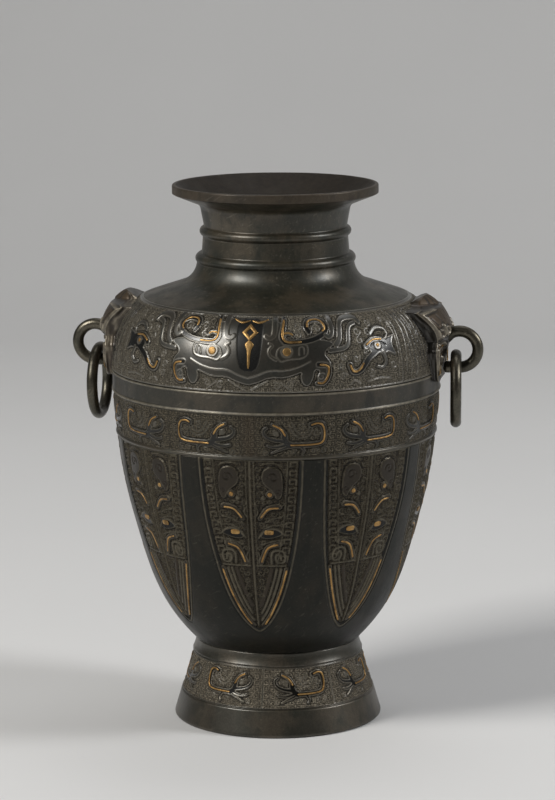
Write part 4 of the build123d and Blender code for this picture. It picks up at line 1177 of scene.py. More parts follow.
def mask_pile():
    """Closed shell of the mask, its back let into the wall."""
    z = np.concatenate([
        np.linspace(246, 271, 56), np.linspace(271.4, 276.6, 16), np.linspace(277, 295, 46),
        np.linspace(295.3, 299, 16), np.linspace(299.4, 304.8, 18),
    ])
    half = np.interp(z, *softened(MASK_WIDTH, 1).T)
    u = np.linspace(-1, 1, MASK_COLUMNS)
    y = half[:, None] * u[None, :]
    zz = np.broadcast_to(z[:, None], y.shape)
    height, high, cut = mask_ornament(y, zz)
    edge = ease(0.97, 1.0, np.abs(u))[None, :]
    back = mask_wall(y, zz)
    front_x = np.maximum(mask_front(y, zz) + height * (1 - edge) - 0.8 * edge**2, back + 0.3)
    front = np.stack([front_x, y, zz], -1)
    depth = np.linspace(0.06, 1.0, 15)
    streaks = grain(depth * 6.0 + 0.06 * z[:, None], z[:, None] / 6.5, 5)
    sides = []
    for column in (-1, 0):
        start, end = front_x[:, column, None], back[:, column, None]
        x = start + (end - start) * depth
        pulled = y[:, column, None] * (1 + (0.015 * streaks - 0.02) * np.sin(depth * math.pi))
        sides.append(np.stack([x, pulled, np.broadcast_to(z[:, None], x.shape)], -1))
    inside_y = half[:, None] * np.linspace(0.92, -0.92, 13)[None, :]
    inside_z = np.broadcast_to(z[:, None], inside_y.shape)
    inside = np.stack([mask_wall(inside_y, inside_z), inside_y, inside_z], -1)
    loops = np.concatenate([front, sides[0], inside, sides[1][:, ::-1]], 1)
    masks = np.zeros(loops.shape[:2] + (4,))
    # The front's dark mark holds its cut lines, notch, brow and the painted shadow beside the raised lines.
    masks[:, :MASK_COLUMNS, 0] = cut
    plate = fade(*PLATE_TOP, zz)
    # The front's edges are lightened as a bead: painted highlight along the plate's edge, and rubbed wear as
    # well.
    masks[:, :MASK_COLUMNS, 1] = plate * np.maximum(high, 0.9 * edge)
    masks[:, :MASK_COLUMNS, 3] = 0.6 * ease(*HORN_FOOT, zz) * (1 - high) * (1 - cut)
    lit, painted_shade_side = slice(MASK_COLUMNS, MASK_COLUMNS + len(depth)), slice(-len(depth), None)
    masks[:, lit, 0] = 0.25 + 0.5 * np.clip(-streaks, 0, 1)
    masks[:, lit, 1] = np.clip(streaks, 0, 1)
    masks[:, lit, 3] = 0.3
    # The side towards -y is darkened, most below the plate's top: painted shade; it faces the camera on the
    # right handle.
    masks[:, painted_shade_side, 0] = 0.3 + 0.6 * plate[:, :1]
    pile = Pile()
    pile.add(loops, cap_rows=True, masks=masks)
    return pile


def mask_gold_work():
    """Gold round the mask's eyes, down its cheeks and along its horns."""
    def surface(y, z):
        height, _, _ = mask_ornament(np.atleast_2d(y), np.atleast_2d(z))
        x = mask_front(y, z) + height[0]
        return np.stack([x, y, z], -1), np.broadcast_to([1.0, 0.0, 0.0], (len(y), 3))

    work = GoldWork(surface)
    for side in (-1, 1):
        for line, half, rounds in MASK_GOLD:
            work.line([(side * y, z) for y, z in line], half, rounds)
    return work


# Loop and ring
def tube(path, radius, sides=28):
    """Loops of points round a path in the XZ plane. radius changes along it."""
    along = unit(np.gradient(path, axis=0))
    across = np.broadcast_to([0.0, 1.0, 0.0], path.shape)
    other = unit(np.cross(along, across))
    turn = np.linspace(0, 2 * math.pi, sides, endpoint=False)
    ring = across[:, None] * np.cos(turn)[None, :, None] + other[:, None] * np.sin(turn)[None, :, None]
    return path[:, None] + ring * radius[:, None, None]


def hook_pile():
    """The open loop, from its root in the mask to its blunt free end."""
    sweep = np.radians(np.linspace(LOOP_START, -90.0, 90))
    bow_x = LOOP_X + LOOP_RADIUS * np.cos(sweep)
    bow_z = LOOP_Z + LOOP_RADIUS * np.sin(sweep)
    bow = np.stack([bow_x, 0 * sweep, bow_z], 1)
    reach = np.linspace(LOOP_X - 0.6, LOOP_END_X, 16)
    tail = np.stack([reach, 0 * reach, np.full(16, LOOP_Z - LOOP_RADIUS)], 1)
    path = np.concatenate([LOOP_ROOT, bow, tail])
    way = walked(path)
    share = way / way[-1]
    radius = LOOP_ROD - 0.28 * np.sin(share * math.pi) + 0.9 * fade(*LOOP_SWELL, way)
    radius = np.minimum(radius, np.where(way > LOOP_SWELL[1], LOOP_ROD, 9.0))
    end = np.clip((way[-1] - way) / 1.6, 0, 1)
    radius = radius * (1 - 0.35 * (1 - end) ** 2)
    pile = Pile()
    pile.add(tube(path, radius), cap_rows=True)
    return pile


def ring_pile(turn):
    """The loose ring, round in section, a little uneven from casting."""
    sweep = np.linspace(0, 2 * math.pi, 128, endpoint=False)
    path = np.stack([0 * sweep, RING_RADIUS * np.sin(sweep), -RING_RADIUS * np.cos(sweep)], 1)
    out = path / RING_RADIUS
    round_turn = np.linspace(0, 2 * math.pi, 30, endpoint=False)
    thinner = 0.07 * (0.5 + 0.5 * np.sin(sweep * 3 + 0.7))[:, None]
    rod = RING_ROD - thinner - 0.03 * np.sin(sweep[:, None] * 7 + round_turn) ** 2
    side = np.array([1.0, 0.0, 0.0]) * np.cos(round_turn)[None, :, None]
    points = path[:, None] + rod[..., None] * (side + out[:, None] * np.sin(round_turn)[None, :, None])
    pile = Pile()
    pile.add(points @ spin(turn) + np.array([RING_X, 0.0, RING_TOP - RING_RADIUS]), wrap_rows=True)
    return pile


# Finishes
class Finish:
    """A material or shader group being wired, with nodes placed left to right."""

    def __init__(self, tree):
        self.tree = tree
        self.x = -1400

    def node(self, kind, inputs=None, **settings):
        """A new node. An input is a socket to link or a value, and settings are the node's properties."""
        node = self.tree.nodes.new(kind)
        node.location = (self.x, -40 * (len(self.tree.nodes) % 9))
        self.x += 60
        for key, value in settings.items():
            setattr(node, key, value)
        for key, value in (inputs or {}).items():
            if isinstance(value, bpy.types.NodeSocket):
                self.tree.links.new(value, node.inputs[key])
            else:
                node.inputs[key].default_value = value
        return node

    def math(self, operation, first, second=0.0, clamp=False):
        """The result of one operation, held from 0 to 1 with clamp."""
        inputs = {0: first, 1: second}
        return self.node("ShaderNodeMath", inputs, operation=operation, use_clamp=clamp).outputs[0]

    def times(self, first, second, clamp=False):
        """First times second."""
        return self.math("MULTIPLY", first, second, clamp)

    def plus(self, first, second, clamp=False):
        """First plus second."""
        return self.math("ADD", first, second, clamp)

    def minus(self, first, second, clamp=False):
        """First minus second."""
        return self.math("SUBTRACT", first, second, clamp)

    def noise(self, vector, scale, detail=3.0, roughness=0.55):
        """Soft noise from 0 to 1."""
        inputs = {"Vector": vector, "Scale": scale, "Detail": detail, "Roughness": roughness}
        return self.node("ShaderNodeTexNoise", inputs).outputs["Fac"]

    def span(self, value, low, high, to_low=0.0, to_high=1.0):
        """A value carried from one range to another and held inside it."""
        inputs = {"Value": value, "From Min": low, "From Max": high, "To Min": to_low, "To Max": to_high}
        return self.node("ShaderNodeMapRange", inputs, clamp=True).outputs["Result"]

    def stretched(self, vector, turn, length):
        """The place drawn out along an axis that is turned away from the upright."""
        inputs = {"Vector": vector, "Rotation": turn, "Scale": (1.0, 1.0, length)}
        return self.node("ShaderNodeMapping", inputs, vector_type="TEXTURE").outputs["Vector"]

    def mix(self, share, first, second, blend="MIX"):
        """Two colours mixed by the share of the second."""
        inputs = {0: share, 6: first, 7: second}
        return self.node("ShaderNodeMix", inputs, data_type="RGBA", blend_type=blend).outputs[2]

    def place(self):
        """The place on the piece."""
        return self.node("ShaderNodeTexCoord").outputs["Object"]


def shader_group(name, inputs, outputs):
    """An empty shader group with named sockets: F for a number, C for a colour, V for a vector."""
    kinds = {"F": "NodeSocketFloat", "C": "NodeSocketColor", "V": "NodeSocketVector"}
    tree = bpy.data.node_groups.new(name, "ShaderNodeTree")
    for label, kind, value in inputs:
        socket = tree.interface.new_socket(label, in_out="INPUT", socket_type=kinds[kind])
        if value is not None:
            socket.default_value = value
    for label, kind in outputs:
        tree.interface.new_socket(label, in_out="OUTPUT", socket_type=kinds[kind])
    wiring = Finish(tree)
    return wiring, wiring.node("NodeGroupInput").outputs


def close_group(wiring, **results):
    """Links the results to the group's outputs and gives back the group."""
    end = wiring.node("NodeGroupOutput")
    for label, socket in results.items():
        wiring.tree.links.new(socket, end.inputs[label.replace("_", " ")])
    return wiring.tree


def tone(red, green, blue):
    """A colour from its 0 to 255 screen values."""
    def linear(value):
        share = value / 255
        return share / 12.92 if share <= 0.04045 else ((share + 0.055) / 1.055) ** 2.4

    return (linear(red), linear(green), linear(blue), 1.0)


def patina_group():
    """Patches of brown and green-black in the metal's skin, pale flecks and scratches, an uneven gloss."""
    wiring, given = shader_group(
        "patina mottling",
        [
            ("Base", "C", None), ("Patch", "C", None), ("Bloom", "C", None), ("Size", "F", 1.0),
            ("Gloss", "F", 0.3), ("Dull", "F", 0.55), ("Fleck", "F", 0.0),
        ],
        [("Color", "C"), ("Roughness", "F"), ("Height", "F")],
    )
    place = wiring.place()
    broad = wiring.noise(place, wiring.times(given["Size"], 26.0), 4.0, 0.6)
    upright = wiring.stretched(place, (0.0, 0.0, 0.0), 2.2)
    blotch = wiring.noise(upright, wiring.times(given["Size"], 75.0), 5.0, 0.65)
    fine = wiring.noise(place, wiring.times(given["Size"], 900.0), 3.0, 0.6)
    color = wiring.mix(wiring.span(broad, 0.43, 0.58), given["Base"], given["Patch"])
    color = wiring.mix(wiring.span(blotch, 0.48, 0.64, 0.0, 0.9), color, given["Bloom"])
    speck = wiring.span(fine, 0.3, 0.75, 0.72, 1.22)
    shade = wiring.node("ShaderNodeCombineColor", {"Red": speck, "Green": speck, "Blue": speck})
    color = wiring.mix(1.0, color, shade.outputs["Color"], "MULTIPLY")
    fleck = wiring.span(wiring.noise(place, 380.0, 4.0, 0.7), 0.6, 0.74)
    slanted = wiring.stretched(place, (0.6, 0.9, 0.3), 9.0)
    scratch = wiring.span(wiring.noise(slanted, 520.0, 2.0, 0.5), 0.64, 0.72)
    pale = wiring.times(wiring.math("MAXIMUM", fleck, scratch), given["Fleck"])
    color = wiring.mix(pale, color, tone(168, 160, 144))
    worn = wiring.plus(wiring.times(blotch, 0.7), wiring.times(fine, 0.3))
    rough = wiring.span(worn, 0.32, 0.68, given["Gloss"], given["Dull"])
    height = wiring.plus(wiring.times(fine, 0.5), wiring.times(blotch, 0.6))
    return close_group(wiring, Color=color, Roughness=rough, Height=height)


def wear_group():
    """Edges rubbed to lighter metal, strongest where the form is sharpest."""
    wiring, given = shader_group(
        "rubbed edges",
        [
            ("Color", "C", None), ("Worn", "C", None), ("Edge", "F", 0.0), ("Amount", "F", 0.8),
            ("Sharp", "F", 0.53),
        ],
        [("Color", "C"), ("Mask", "F")],
    )
    place = wiring.place()
    point = wiring.node("ShaderNodeNewGeometry").outputs["Pointiness"]
    patchy = wiring.span(wiring.noise(place, 210.0, 4.0, 0.65), 0.34, 0.62)
    sharp = wiring.span(point, given["Sharp"], wiring.plus(given["Sharp"], 0.09))
    edge = wiring.times(wiring.math("MAXIMUM", given["Edge"], sharp), patchy, True)
    mask = wiring.times(edge, given["Amount"], True)
    return close_group(wiring, Color=wiring.mix(mask, given["Color"], given["Worn"]), Mask=mask)


def leiwen_group():
    """Square spirals in small tiles, every second one turned over, as the ground of the bands."""
    wiring, given = shader_group(
        "leiwen ground",
        [("Unrolled", "V", None), ("Tile", "F", 4.2), ("Turns", "F", 2.2)],
        [("Lines", "F"), ("Height", "F")],
    )
    parts = wiring.node("ShaderNodeSeparateXYZ", {"Vector": given["Unrolled"]}).outputs
    wander = wiring.noise(given["Unrolled"], 0.21, 2.0, 0.5)
    bent = wiring.times(wiring.minus(wander, 0.5), 2.6)
    across = wiring.math("DIVIDE", wiring.plus(parts["X"], bent), given["Tile"])
    up = wiring.math("DIVIDE", wiring.minus(parts["Y"], bent), given["Tile"])
    second = wiring.math("MODULO", wiring.math("FLOOR", across), 2.0)
    flip = wiring.minus(wiring.times(second, 2.0), 1.0)
    x = wiring.times(wiring.minus(wiring.math("FRACT", across), 0.5), flip)
    y = wiring.minus(wiring.math("FRACT", up), 0.5)
    ring = wiring.math("MAXIMUM", wiring.math("ABSOLUTE", x), wiring.math("ABSOLUTE", y))
    turn = wiring.math("DIVIDE", wiring.math("ARCTAN2", y, x), 2 * math.pi)
    wound = wiring.times(ring, wiring.times(given["Turns"], 2.0))
    phase = wiring.plus(wiring.minus(wound, turn), 10.0)
    wave = wiring.math("ABSOLUTE", wiring.minus(wiring.math("FRACT", phase), 0.5))
    lines = wiring.span(wave, 0.16, 0.36)
    crumbs = wiring.noise(given["Unrolled"], 1.5, 3.0, 0.7)
    broken = wiring.times(lines, wiring.span(crumbs, 0.32, 0.52))
    height = wiring.plus(wiring.times(broken, 0.7), wiring.times(crumbs, 0.5))
    return close_group(wiring, Lines=broken, Height=height)


def dust_group():
    """Pale earthy dust that stays in the hollows and on faces that look up."""
    wiring, given = shader_group(
        "dust in hollows",
        [
            ("Color", "C", None), ("Dust", "C", None), ("Hollow", "F", 0.0), ("Amount", "F", 0.5),
            ("Roughness", "F", 0.4),
        ],
        [("Color", "C"), ("Roughness", "F")],
    )
    place = wiring.place()
    geometry = wiring.node("ShaderNodeNewGeometry").outputs
    facing = wiring.node("ShaderNodeSeparateXYZ", {"Vector": geometry["Normal"]}).outputs["Z"]
    lying = wiring.span(facing, 0.35, 0.95, 0.0, 0.55)
    deep = wiring.span(geometry["Pointiness"], 0.49, 0.43)
    clumps = wiring.span(wiring.noise(place, 320.0, 5.0, 0.7), 0.36, 0.7)
    where = wiring.math("MAXIMUM", wiring.math("MAXIMUM", given["Hollow"], deep), lying, True)
    mask = wiring.times(wiring.times(where, clumps), given["Amount"], True)
    color = wiring.mix(mask, given["Color"], given["Dust"])
    rough = wiring.plus(given["Roughness"], wiring.times(mask, 0.3), True)
    return close_group(wiring, Color=color, Roughness=rough)


PATINA = patina_group()
WEAR = wear_group()
LEIWEN = leiwen_group()
DUST = dust_group()
SKIN_IOR = 2.0


def new_finish(name):
    """An empty material and its wiring."""
    material = bpy.data.materials.new(name)
    material.use_nodes = True
    material.node_tree.nodes.clear()
    return material, Finish(material.node_tree)


def grouped(wiring, tree, **inputs):
    """A shader group placed in a material with the material's own values."""
    return wiring.node("ShaderNodeGroup", inputs, node_tree=tree).outputs


def shaded(wiring, color, roughness, normal, **values):
    """The metal's shader and the material's end."""
    inputs = {"Base Color": color, "Roughness": roughness, "Normal": normal}
    for label, value in values.items():
        inputs[label.replace("_", " ")] = value
    surface = wiring.node("ShaderNodeBsdfPrincipled", inputs)
    wiring.node("ShaderNodeOutputMaterial", {"Surface": surface.outputs[0]})


def bump(wiring, height, strength, distance, normal=None):
    """A normal bent by a height, on top of an earlier bump where one is given."""
    inputs = {"Height": height, "Strength": strength, "Distance": distance}
    if normal is not None:
        inputs["Normal"] = normal
    return wiring.node("ShaderNodeBump", inputs).outputs["Normal"]


def relief_marks(wiring):
    """The carving's marks: dark field with painted shade, bead with some painted highlight, ground and rust.
    """
    marks = wiring.node("ShaderNodeAttribute", attribute_name="relief")
    parts = wiring.node("ShaderNodeSeparateColor", {"Color": marks.outputs["Color"]}).outputs
    return parts["Red"], parts["Green"], parts["Blue"], marks.outputs["Alpha"]


def plain_bronze(name, tones, rust, gloss, dull, metal, wear, coat):
    """Smooth patinated bronze of the neck, belt, handles and rings. tones: base, patch, bloom, worn."""
    base, patch, bloom, worn = tones
    material, wiring = new_finish(name)
    dark, bead, _, rusty = relief_marks(wiring)
    skin = grouped(
        wiring, PATINA, Base=base, Patch=patch, Bloom=bloom, Size=1.0, Gloss=gloss, Dull=dull, Fleck=0.16
    )
    color = wiring.mix(wiring.times(rusty, 0.8), skin["Color"], rust)
    # The dark mark paints dark fields and painted shade alike.
    color = wiring.mix(dark, color, tone(22, 20, 17))
    color = wiring.mix(wiring.times(bead, 0.3), color, worn)
    rubbed = grouped(wiring, WEAR, Color=color, Worn=worn, Edge=bead, Amount=wear)
    hollow = wiring.math("MAXIMUM", dark, wiring.times(rusty, 0.7))
    dusty = grouped(
        wiring, DUST, Color=rubbed["Color"], Dust=tone(96, 85, 68), Hollow=hollow, Amount=0.18,
        Roughness=skin["Roughness"],
    )
    rough = wiring.plus(dusty["Roughness"], wiring.times(rusty, 0.2), True)
    clear = wiring.times(wiring.minus(1.0, rusty, True), coat)
    normal = bump(wiring, skin["Height"], 0.22, 0.0006)
    shaded(
        wiring, dusty["Color"], rough, normal, Metallic=metal, Coat_Weight=clear, Coat_Roughness=0.3,
        Coat_IOR=SKIN_IOR,
    )
    return material


def carved_bronze(name, tones, ground_tones, bead_tone, dark_tone, bead_share, wear, polish):
    """Carved zones: polished dark fields and painted shade in the moats, pale beads and a dusty ground of
    small spirals.
    """
    base, patch, bloom = tones
    material, wiring = new_finish(name)
    dark, bead, ground, rusty = relief_marks(wiring)
    unrolled = wiring.node("ShaderNodeAttribute", attribute_name="unrolled").outputs["Vector"]
    skin = grouped(
        wiring, PATINA, Base=base, Patch=patch, Bloom=bloom, Size=1.0, Gloss=0.3, Dull=0.5, Fleck=0.06
    )
    spirals = grouped(wiring, LEIWEN, Unrolled=unrolled, Tile=4.6, Turns=1.35)
    floor = wiring.mix(spirals["Lines"], *ground_tones)
    color = wiring.mix(ground, skin["Color"], floor)
    # The dark mark paints the dark fields and the painted shadow of the moats alike.
    color = wiring.mix(dark, color, dark_tone)
    color = wiring.mix(wiring.times(rusty, 0.35), color, tone(74, 62, 49))
    color = wiring.mix(wiring.times(bead, bead_share), color, bead_tone)
    rubbed = grouped(wiring, WEAR, Color=color, Worn=bead_tone, Edge=bead, Amount=wear)
    dusty = grouped(
        wiring, DUST, Color=rubbed["Color"], Dust=tone(106, 100, 90), Hollow=ground, Amount=0.15,
        Roughness=skin["Roughness"],
    )
    duller = wiring.plus(dusty["Roughness"], wiring.times(ground, 0.06))
    rough = wiring.minus(duller, wiring.times(dark, 0.14), True)
    low = bump(wiring, skin["Height"], 0.2, 0.0005)
    normal = bump(wiring, wiring.times(spirals["Height"], ground), 0.9, 0.0006, low)
    clear = wiring.minus(1.0, wiring.times(dark, 0.4))
    high = wiring.minus(1.0, ground)
    coat = wiring.times(wiring.times(high, clear), polish)
    shaded(
        wiring, dusty["Color"], rough, normal, Metallic=0.6, Coat_Weight=coat, Coat_Roughness=0.3,
        Coat_IOR=SKIN_IOR,
    )
    return material


def inlay_gold():
    """Soft hammered gold, dulled and darkened by dust where it is hollow or faces up."""
    material, wiring = new_finish("inlaid gold")
    skin = grouped(
        wiring, PATINA, Base=tone(182, 146, 92), Patch=tone(158, 122, 72), Bloom=tone(112, 88, 56), Size=3.0,
        Gloss=0.3, Dull=0.52, Fleck=0.2,
    )
    dusty = grouped(
        wiring, DUST, Color=skin["Color"], Dust=tone(84, 68, 46), Hollow=0.0, Amount=0.7,
        Roughness=skin["Roughness"],
    )
    normal = bump(wiring, skin["Height"], 0.25, 0.0004)
    shaded(wiring, dusty["Color"], dusty["Roughness"], normal, Metallic=0.85)
    return material


CARVED = carved_bronze(
    "carved bronze", (tone(58, 55, 46), tone(74, 68, 56), tone(48, 49, 39)),
    ground_tones=(tone(54, 50, 42), tone(126, 119, 104)), bead_tone=tone(122, 116, 103),
    dark_tone=tone(18, 18, 15), bead_share=0.35, wear=0.5, polish=0.65,
)
BELLY = carved_bronze(
    "belly bronze", (tone(50, 46, 37), tone(64, 57, 45), tone(42, 42, 33)),
    ground_tones=(tone(42, 39, 31), tone(104, 96, 80)), bead_tone=tone(104, 98, 84),
    dark_tone=tone(20, 19, 15), bead_share=0.2, wear=0.35, polish=0.2,
)
FOOT = carved_bronze(
    "foot bronze", (tone(60, 57, 48), tone(80, 73, 61), tone(48, 48, 39)),
    ground_tones=(tone(60, 55, 46), tone(136, 127, 110)), bead_tone=tone(128, 121, 106),
    dark_tone=tone(22, 21, 17), bead_share=0.25, wear=0.4, polish=0.25,
)
LEAF = carved_bronze(
    "leaf bronze", (tone(25, 25, 19), tone(35, 32, 24), tone(20, 22, 16)),
    ground_tones=(tone(22, 19, 14), tone(78, 69, 53)), bead_tone=tone(102, 95, 79),
    dark_tone=tone(10, 10, 8), bead_share=0.45, wear=0.6, polish=0.02,
)
RED_BROWN = tone(52, 38, 28)
HORN_BROWN = tone(84, 69, 52)
PLAIN = plain_bronze(
    "plain bronze", (tone(50, 49, 40), tone(76, 69, 56), tone(36, 38, 30), tone(136, 129, 113)), RED_BROWN,
    gloss=0.34, dull=0.55, metal=0.5, wear=0.7, coat=0.15,
)
MASK = plain_bronze(
    "mask bronze", (tone(54, 47, 38), tone(74, 63, 49), tone(38, 34, 27), tone(150, 141, 123)), HORN_BROWN,
    gloss=0.3, dull=0.5, metal=0.6, wear=0.9, coat=0.25,
)
HANDLE = plain_bronze(
    "handle bronze", (tone(84, 82, 73), tone(100, 95, 83), tone(58, 56, 48), tone(150, 144, 129)), RED_BROWN,
    gloss=0.3, dull=0.46, metal=0.95, wear=0.5, coat=0.05,
)
GOLD = inlay_gold()


# The wall's pieces: outlines as radius and height in mm
NECK_SLOPE = [(NECK_SEAM, 302.97), (57.2, 315.16), (55.2, 326.5)]
LOW_RIB = [(55.2, 326.5), (56.25, 330.0), (51.9, 332.9)]
HIGH_RIB = [(51.0, 345.1), (53.3, 348.3), (50.2, 351.5)]
MOUTH_FLARE = [(50.2, 351.5), (53.0, 367.0), (71.2, 374.3)]
LIP = [(71.2, 374.3), (72.4, 374.9), (72.4, 381.0), (69.8, 381.0)]
LIP_RUST = (373.0, 375.0)
THROAT = [
    (69.6, 380.9), (47.8, 365.5), (45.8, 345.1), (45.8, 326.5), (50.8, 310.2), (NECK_SEAM, 298.45),
]
# Inside the throat: dark field 0.75 is painted shade, and rust 0.9 gives its own red-brown.
THROAT_SHADE_AND_RUST = (0.75, 0, 0, 0.9)
SHOULDER_FOOT = [(115.5, BAND_SEAM + 0.06), (115.7, 252.55)]
SHOULDER_TOP = [(94.9, 301.95), (94.3, 301.7), (93.9, 301.62), (93.8, 302.6), (NECK_SEAM + 0.05, 302.92)]
SHOULDER_INNER_TOP = (NECK_SEAM + 0.05, 298.5)
SHOULDER_INNER_FOOT = (112.2, BAND_SEAM + 0.06)
LOW_RIDGE = [(114.9, 236.9), (115.7, 237.1), (116.2, 237.6), (116.2, 238.3), (115.5, 239.0)]
HIGH_RIDGE = [(115.5, 250.2), (116.2, 250.8), (116.2, 251.4), (115.6, 252.0), (114.9, 252.25)]
RIDGE_RADII = (115.6, 116.0)
BELT_INSIDE = [(112.15, 252.25), (111.6, 244.0), (111.05, 236.9)]
THREAD = [
    (112.75, 205.9), (113.1, 206.25), (113.55, 206.7), (113.65, 207.4), (113.55, 208.0), (113.1, 208.45),
]
BELLY_INSIDE = [(111.05, 236.95), (109.9, 221.0), (108.8, 205.9)]
LEAF_INSIDE = [
    (108.8, 205.85), (104.0, 176.0), (95.0, 137.2), (88.0, 113.0), (78.0, 90.3), (62.0, 71.4),
    (45.0, 60.5), (45.0, 57.1), (48.9, 57.0), (49.0, 50.1), (53.9, 50.1), (53.9, 56.95),
]
FOOT_RIM = [(69.6, 0.02), (74.5, 0.0), (68.99, 18.6)]
FOOT_LOW_GROOVE = [(68.6, 18.8), (67.9, 19.1), (67.8, 19.4), (68.1, 19.75)]
FOOT_HIGH_GROOVE = [(60.2, 47.3), (59.85, 47.6), (59.9, 47.9), (60.3, 48.2)]
FOOT_NECK = [(60.6, 48.4), (58.9, 52.7), (58.2, 57.0)]
FOOT_INSIDE = [(54.2, 56.98), (54.1, 48.6), (69.5, 0.1)]


def build_neck():
    """The neck, from the shoulder seam over both ribs and the lip and down the throat."""
    outer = np.concatenate([
        resampled(filleted(NECK_SLOPE, [19.0], 24), 60),
        resampled(arc_through(*LOW_RIB), 18)[1:],
        resampled([LOW_RIB[-1], HIGH_RIB[0]], 14)[1:],
        resampled(arc_through(*HIGH_RIB), 18)[1:],
        resampled(filleted(MOUTH_FLARE, [6.0], 16), 40)[1:],
        resampled(filleted(LIP, [0.4, 1.2], 7), 30)[1:],
    ])
    inner = resampled(filleted(THROAT, [6.0] * 4, 8), 60)
    turns = whole_turn(288)
    marks = plain_marks(outer, len(turns), rust=0.5 * ease(*LIP_RUST, outer[:, 1]))
    neck = wall_piece(outer, inner, turns, marks, True, seed=3, wobble=0.1, inner_marks=THROAT_SHADE_AND_RUST)
    neck.built("neck_and_lip", PLAIN, replaces=["neck_section"])


def build_shoulder():
    """The shoulder band in two halves, a taotie face on each."""
    rows = band_curve(0.0, 134)
    outer = np.concatenate([SHOULDER_FOOT, rows, SHOULDER_TOP])
    inner = np.concatenate([[SHOULDER_INNER_TOP], band_curve(-WALL, 14)[::-1], [SHOULDER_INNER_FOOT]])
    quarter = np.linspace(0, 90, 369)
    work = shoulder_carving(quarter, rows[:, 1])
    work.pad(len(SHOULDER_FOOT), len(SHOULDER_TOP))
    marks = work.spread(mirrored_columns(len(quarter)))
    for name, middle in (("shoulder_band_front", 0), ("shoulder_band_back", 180)):
        half = wall_piece(outer, inner, mirrored(quarter) + middle, marks, False, seed=11, wobble=0.05)
        half.built(name, CARVED, replaces=["shoulder_section"])


def build_belt():
    """The plain belt between its two ridges."""
    low = softened(LOW_RIDGE, 2)
    high = softened(HIGH_RIDGE, 2)
    outer = np.concatenate([low, resampled([low[-1], high[0]], 26)[1:-1], high])
    ridge = ease(*RIDGE_RADII, outer[:, 0])
    turns = whole_turn(320)
    # The ridges are lightened as painted highlight, which also serves as their rubbed edge; the belt between
    # them is darker.
    marks = plain_marks(outer, len(turns), 0.35 * (1 - ridge), ridge)
    belt = wall_piece(outer, np.array(BELT_INSIDE), turns, marks, True, seed=21, wobble=0.015)
    belt.built("plain_belt", PLAIN, replaces=["vessel_body"])


def build_belly():
    """The belly band with the thread under it, which is marked as a bead."""
    rows = resampled(BELLY_CURVE, 72)
    turns = whole_turn(1320)
    work = belly_carving(turns[: len(turns) // 4 + 1], rows[:, 1])
    work.pad(len(THREAD), 0)
    work.masks[1:5, :, 1] = 0.6
    marks = work.spread(quarter_columns(len(turns)))
    outer = np.concatenate([THREAD, rows])
    band = wall_piece(outer, np.array(BELLY_INSIDE), turns, marks, True, seed=31, wobble=0.05)
    band.built("belly_band", BELLY, replaces=["vessel_body"])


def build_leaves():
    """The leaf blades, one eighth of the turn each, with columns close together at their seams."""
    z = np.concatenate([np.linspace(FOOT_TOP, 74.0, 14), np.linspace(74.6, 205.85, 236)])
    rows = np.stack([radius_at(LEAF_CURVE, z), z], 1)
    half = np.concatenate([np.linspace(0, 19.2, 66), np.linspace(19.6, 22.4, 7), [22.47, 22.5]])
    marks = leaf_carving(half, z).spread(mirrored_columns(len(half)))
    for number in range(LEAVES):
        turns = mirrored(half) + LEAF_TURN * number
        blade = wall_piece(rows, np.array(LEAF_INSIDE), turns, marks, False, seed=41, wobble=0.06)
        blade.built(f"leaf_blade_{number + 1}", LEAF, replaces=["vessel_body"])


def build_foot():
    """The foot ring, from its rim over the dragon band to the waist."""
    rim = filleted(FOOT_RIM, [2.0], 9)
    low = np.concatenate([rim[:-1], resampled(rim[-2:], 22)[1:]])
    rows = resampled(FOOT_CURVE, 70)
    neck = resampled(arc_through(*FOOT_NECK), 14)
    outer = np.concatenate([low, FOOT_LOW_GROOVE, rows, FOOT_HIGH_GROOVE, neck])
    turns = whole_turn(880)
    work = foot_carving(turns[: len(turns) // 4 + 1], rows[:, 1])
    work.pad(len(low) + len(FOOT_LOW_GROOVE), len(FOOT_HIGH_GROOVE) + len(neck))
    marks = work.spread(quarter_columns(len(turns)))
    foot = wall_piece(outer, resampled(FOOT_INSIDE, 14), turns, marks, True, seed=61, wobble=0.1)
    foot.built("foot", FOOT, replaces=["foot_ring"])


def build_gold():
    """All the gold of the wall."""
    taotie = shoulder_gold()
    taotie.built("taotie_gold_front", GOLD, ["shoulder_gold_front"])
    taotie.built("taotie_gold_back", GOLD, ["shoulder_gold_back"], 180)
    belly = dragon_gold(BELLY_CURVE, BELLY_PLACES, LEAF_TOP, 1.0, BELLY_STRETCH)
    belly.built("belly_dragon_gold", GOLD, ["belly_gold"])
    foot = dragon_gold(FOOT_CURVE, FOOT_PLACES, FOOT_BAND, FOOT_SQUEEZE, 1.0)
    foot.built("foot_dragon_gold", GOLD, ["foot_gold"])
    leaf = leaf_gold()
    for number in range(LEAVES):
        leaf.built(f"leaf_blade_gold_{number + 1}", GOLD, [f"leaf_gold_{number + 1}"], LEAF_TURN * number)


def build_handles():
    """Both masks with their gold, loops and loose rings."""
    mask = mask_pile()
    hook = hook_pile()
    gold = mask_gold_work()
    for side, turn, ring_turn in (("right", 0, RIGHT_RING_TURN), ("left", 180, LEFT_RING_TURN)):
        mask.turned(turn).built(f"{side}_beast_mask", MASK, "vessel", "mask_bronze", [f"{side}_mask"])
        gold.built(f"{side}_beast_mask_gold", GOLD, [f"{side}_mask_gold"], turn)
        hook.turned(turn).built(f"{side}_handle_loop", HANDLE, "vessel", "mask_bronze", [f"{side}_hook"])
        ring = ring_pile(ring_turn).turned(turn)
        ring.built(f"{side}_loose_ring", HANDLE, f"{side}_ring_body", "ring_bronze", [f"{side}_ring"])


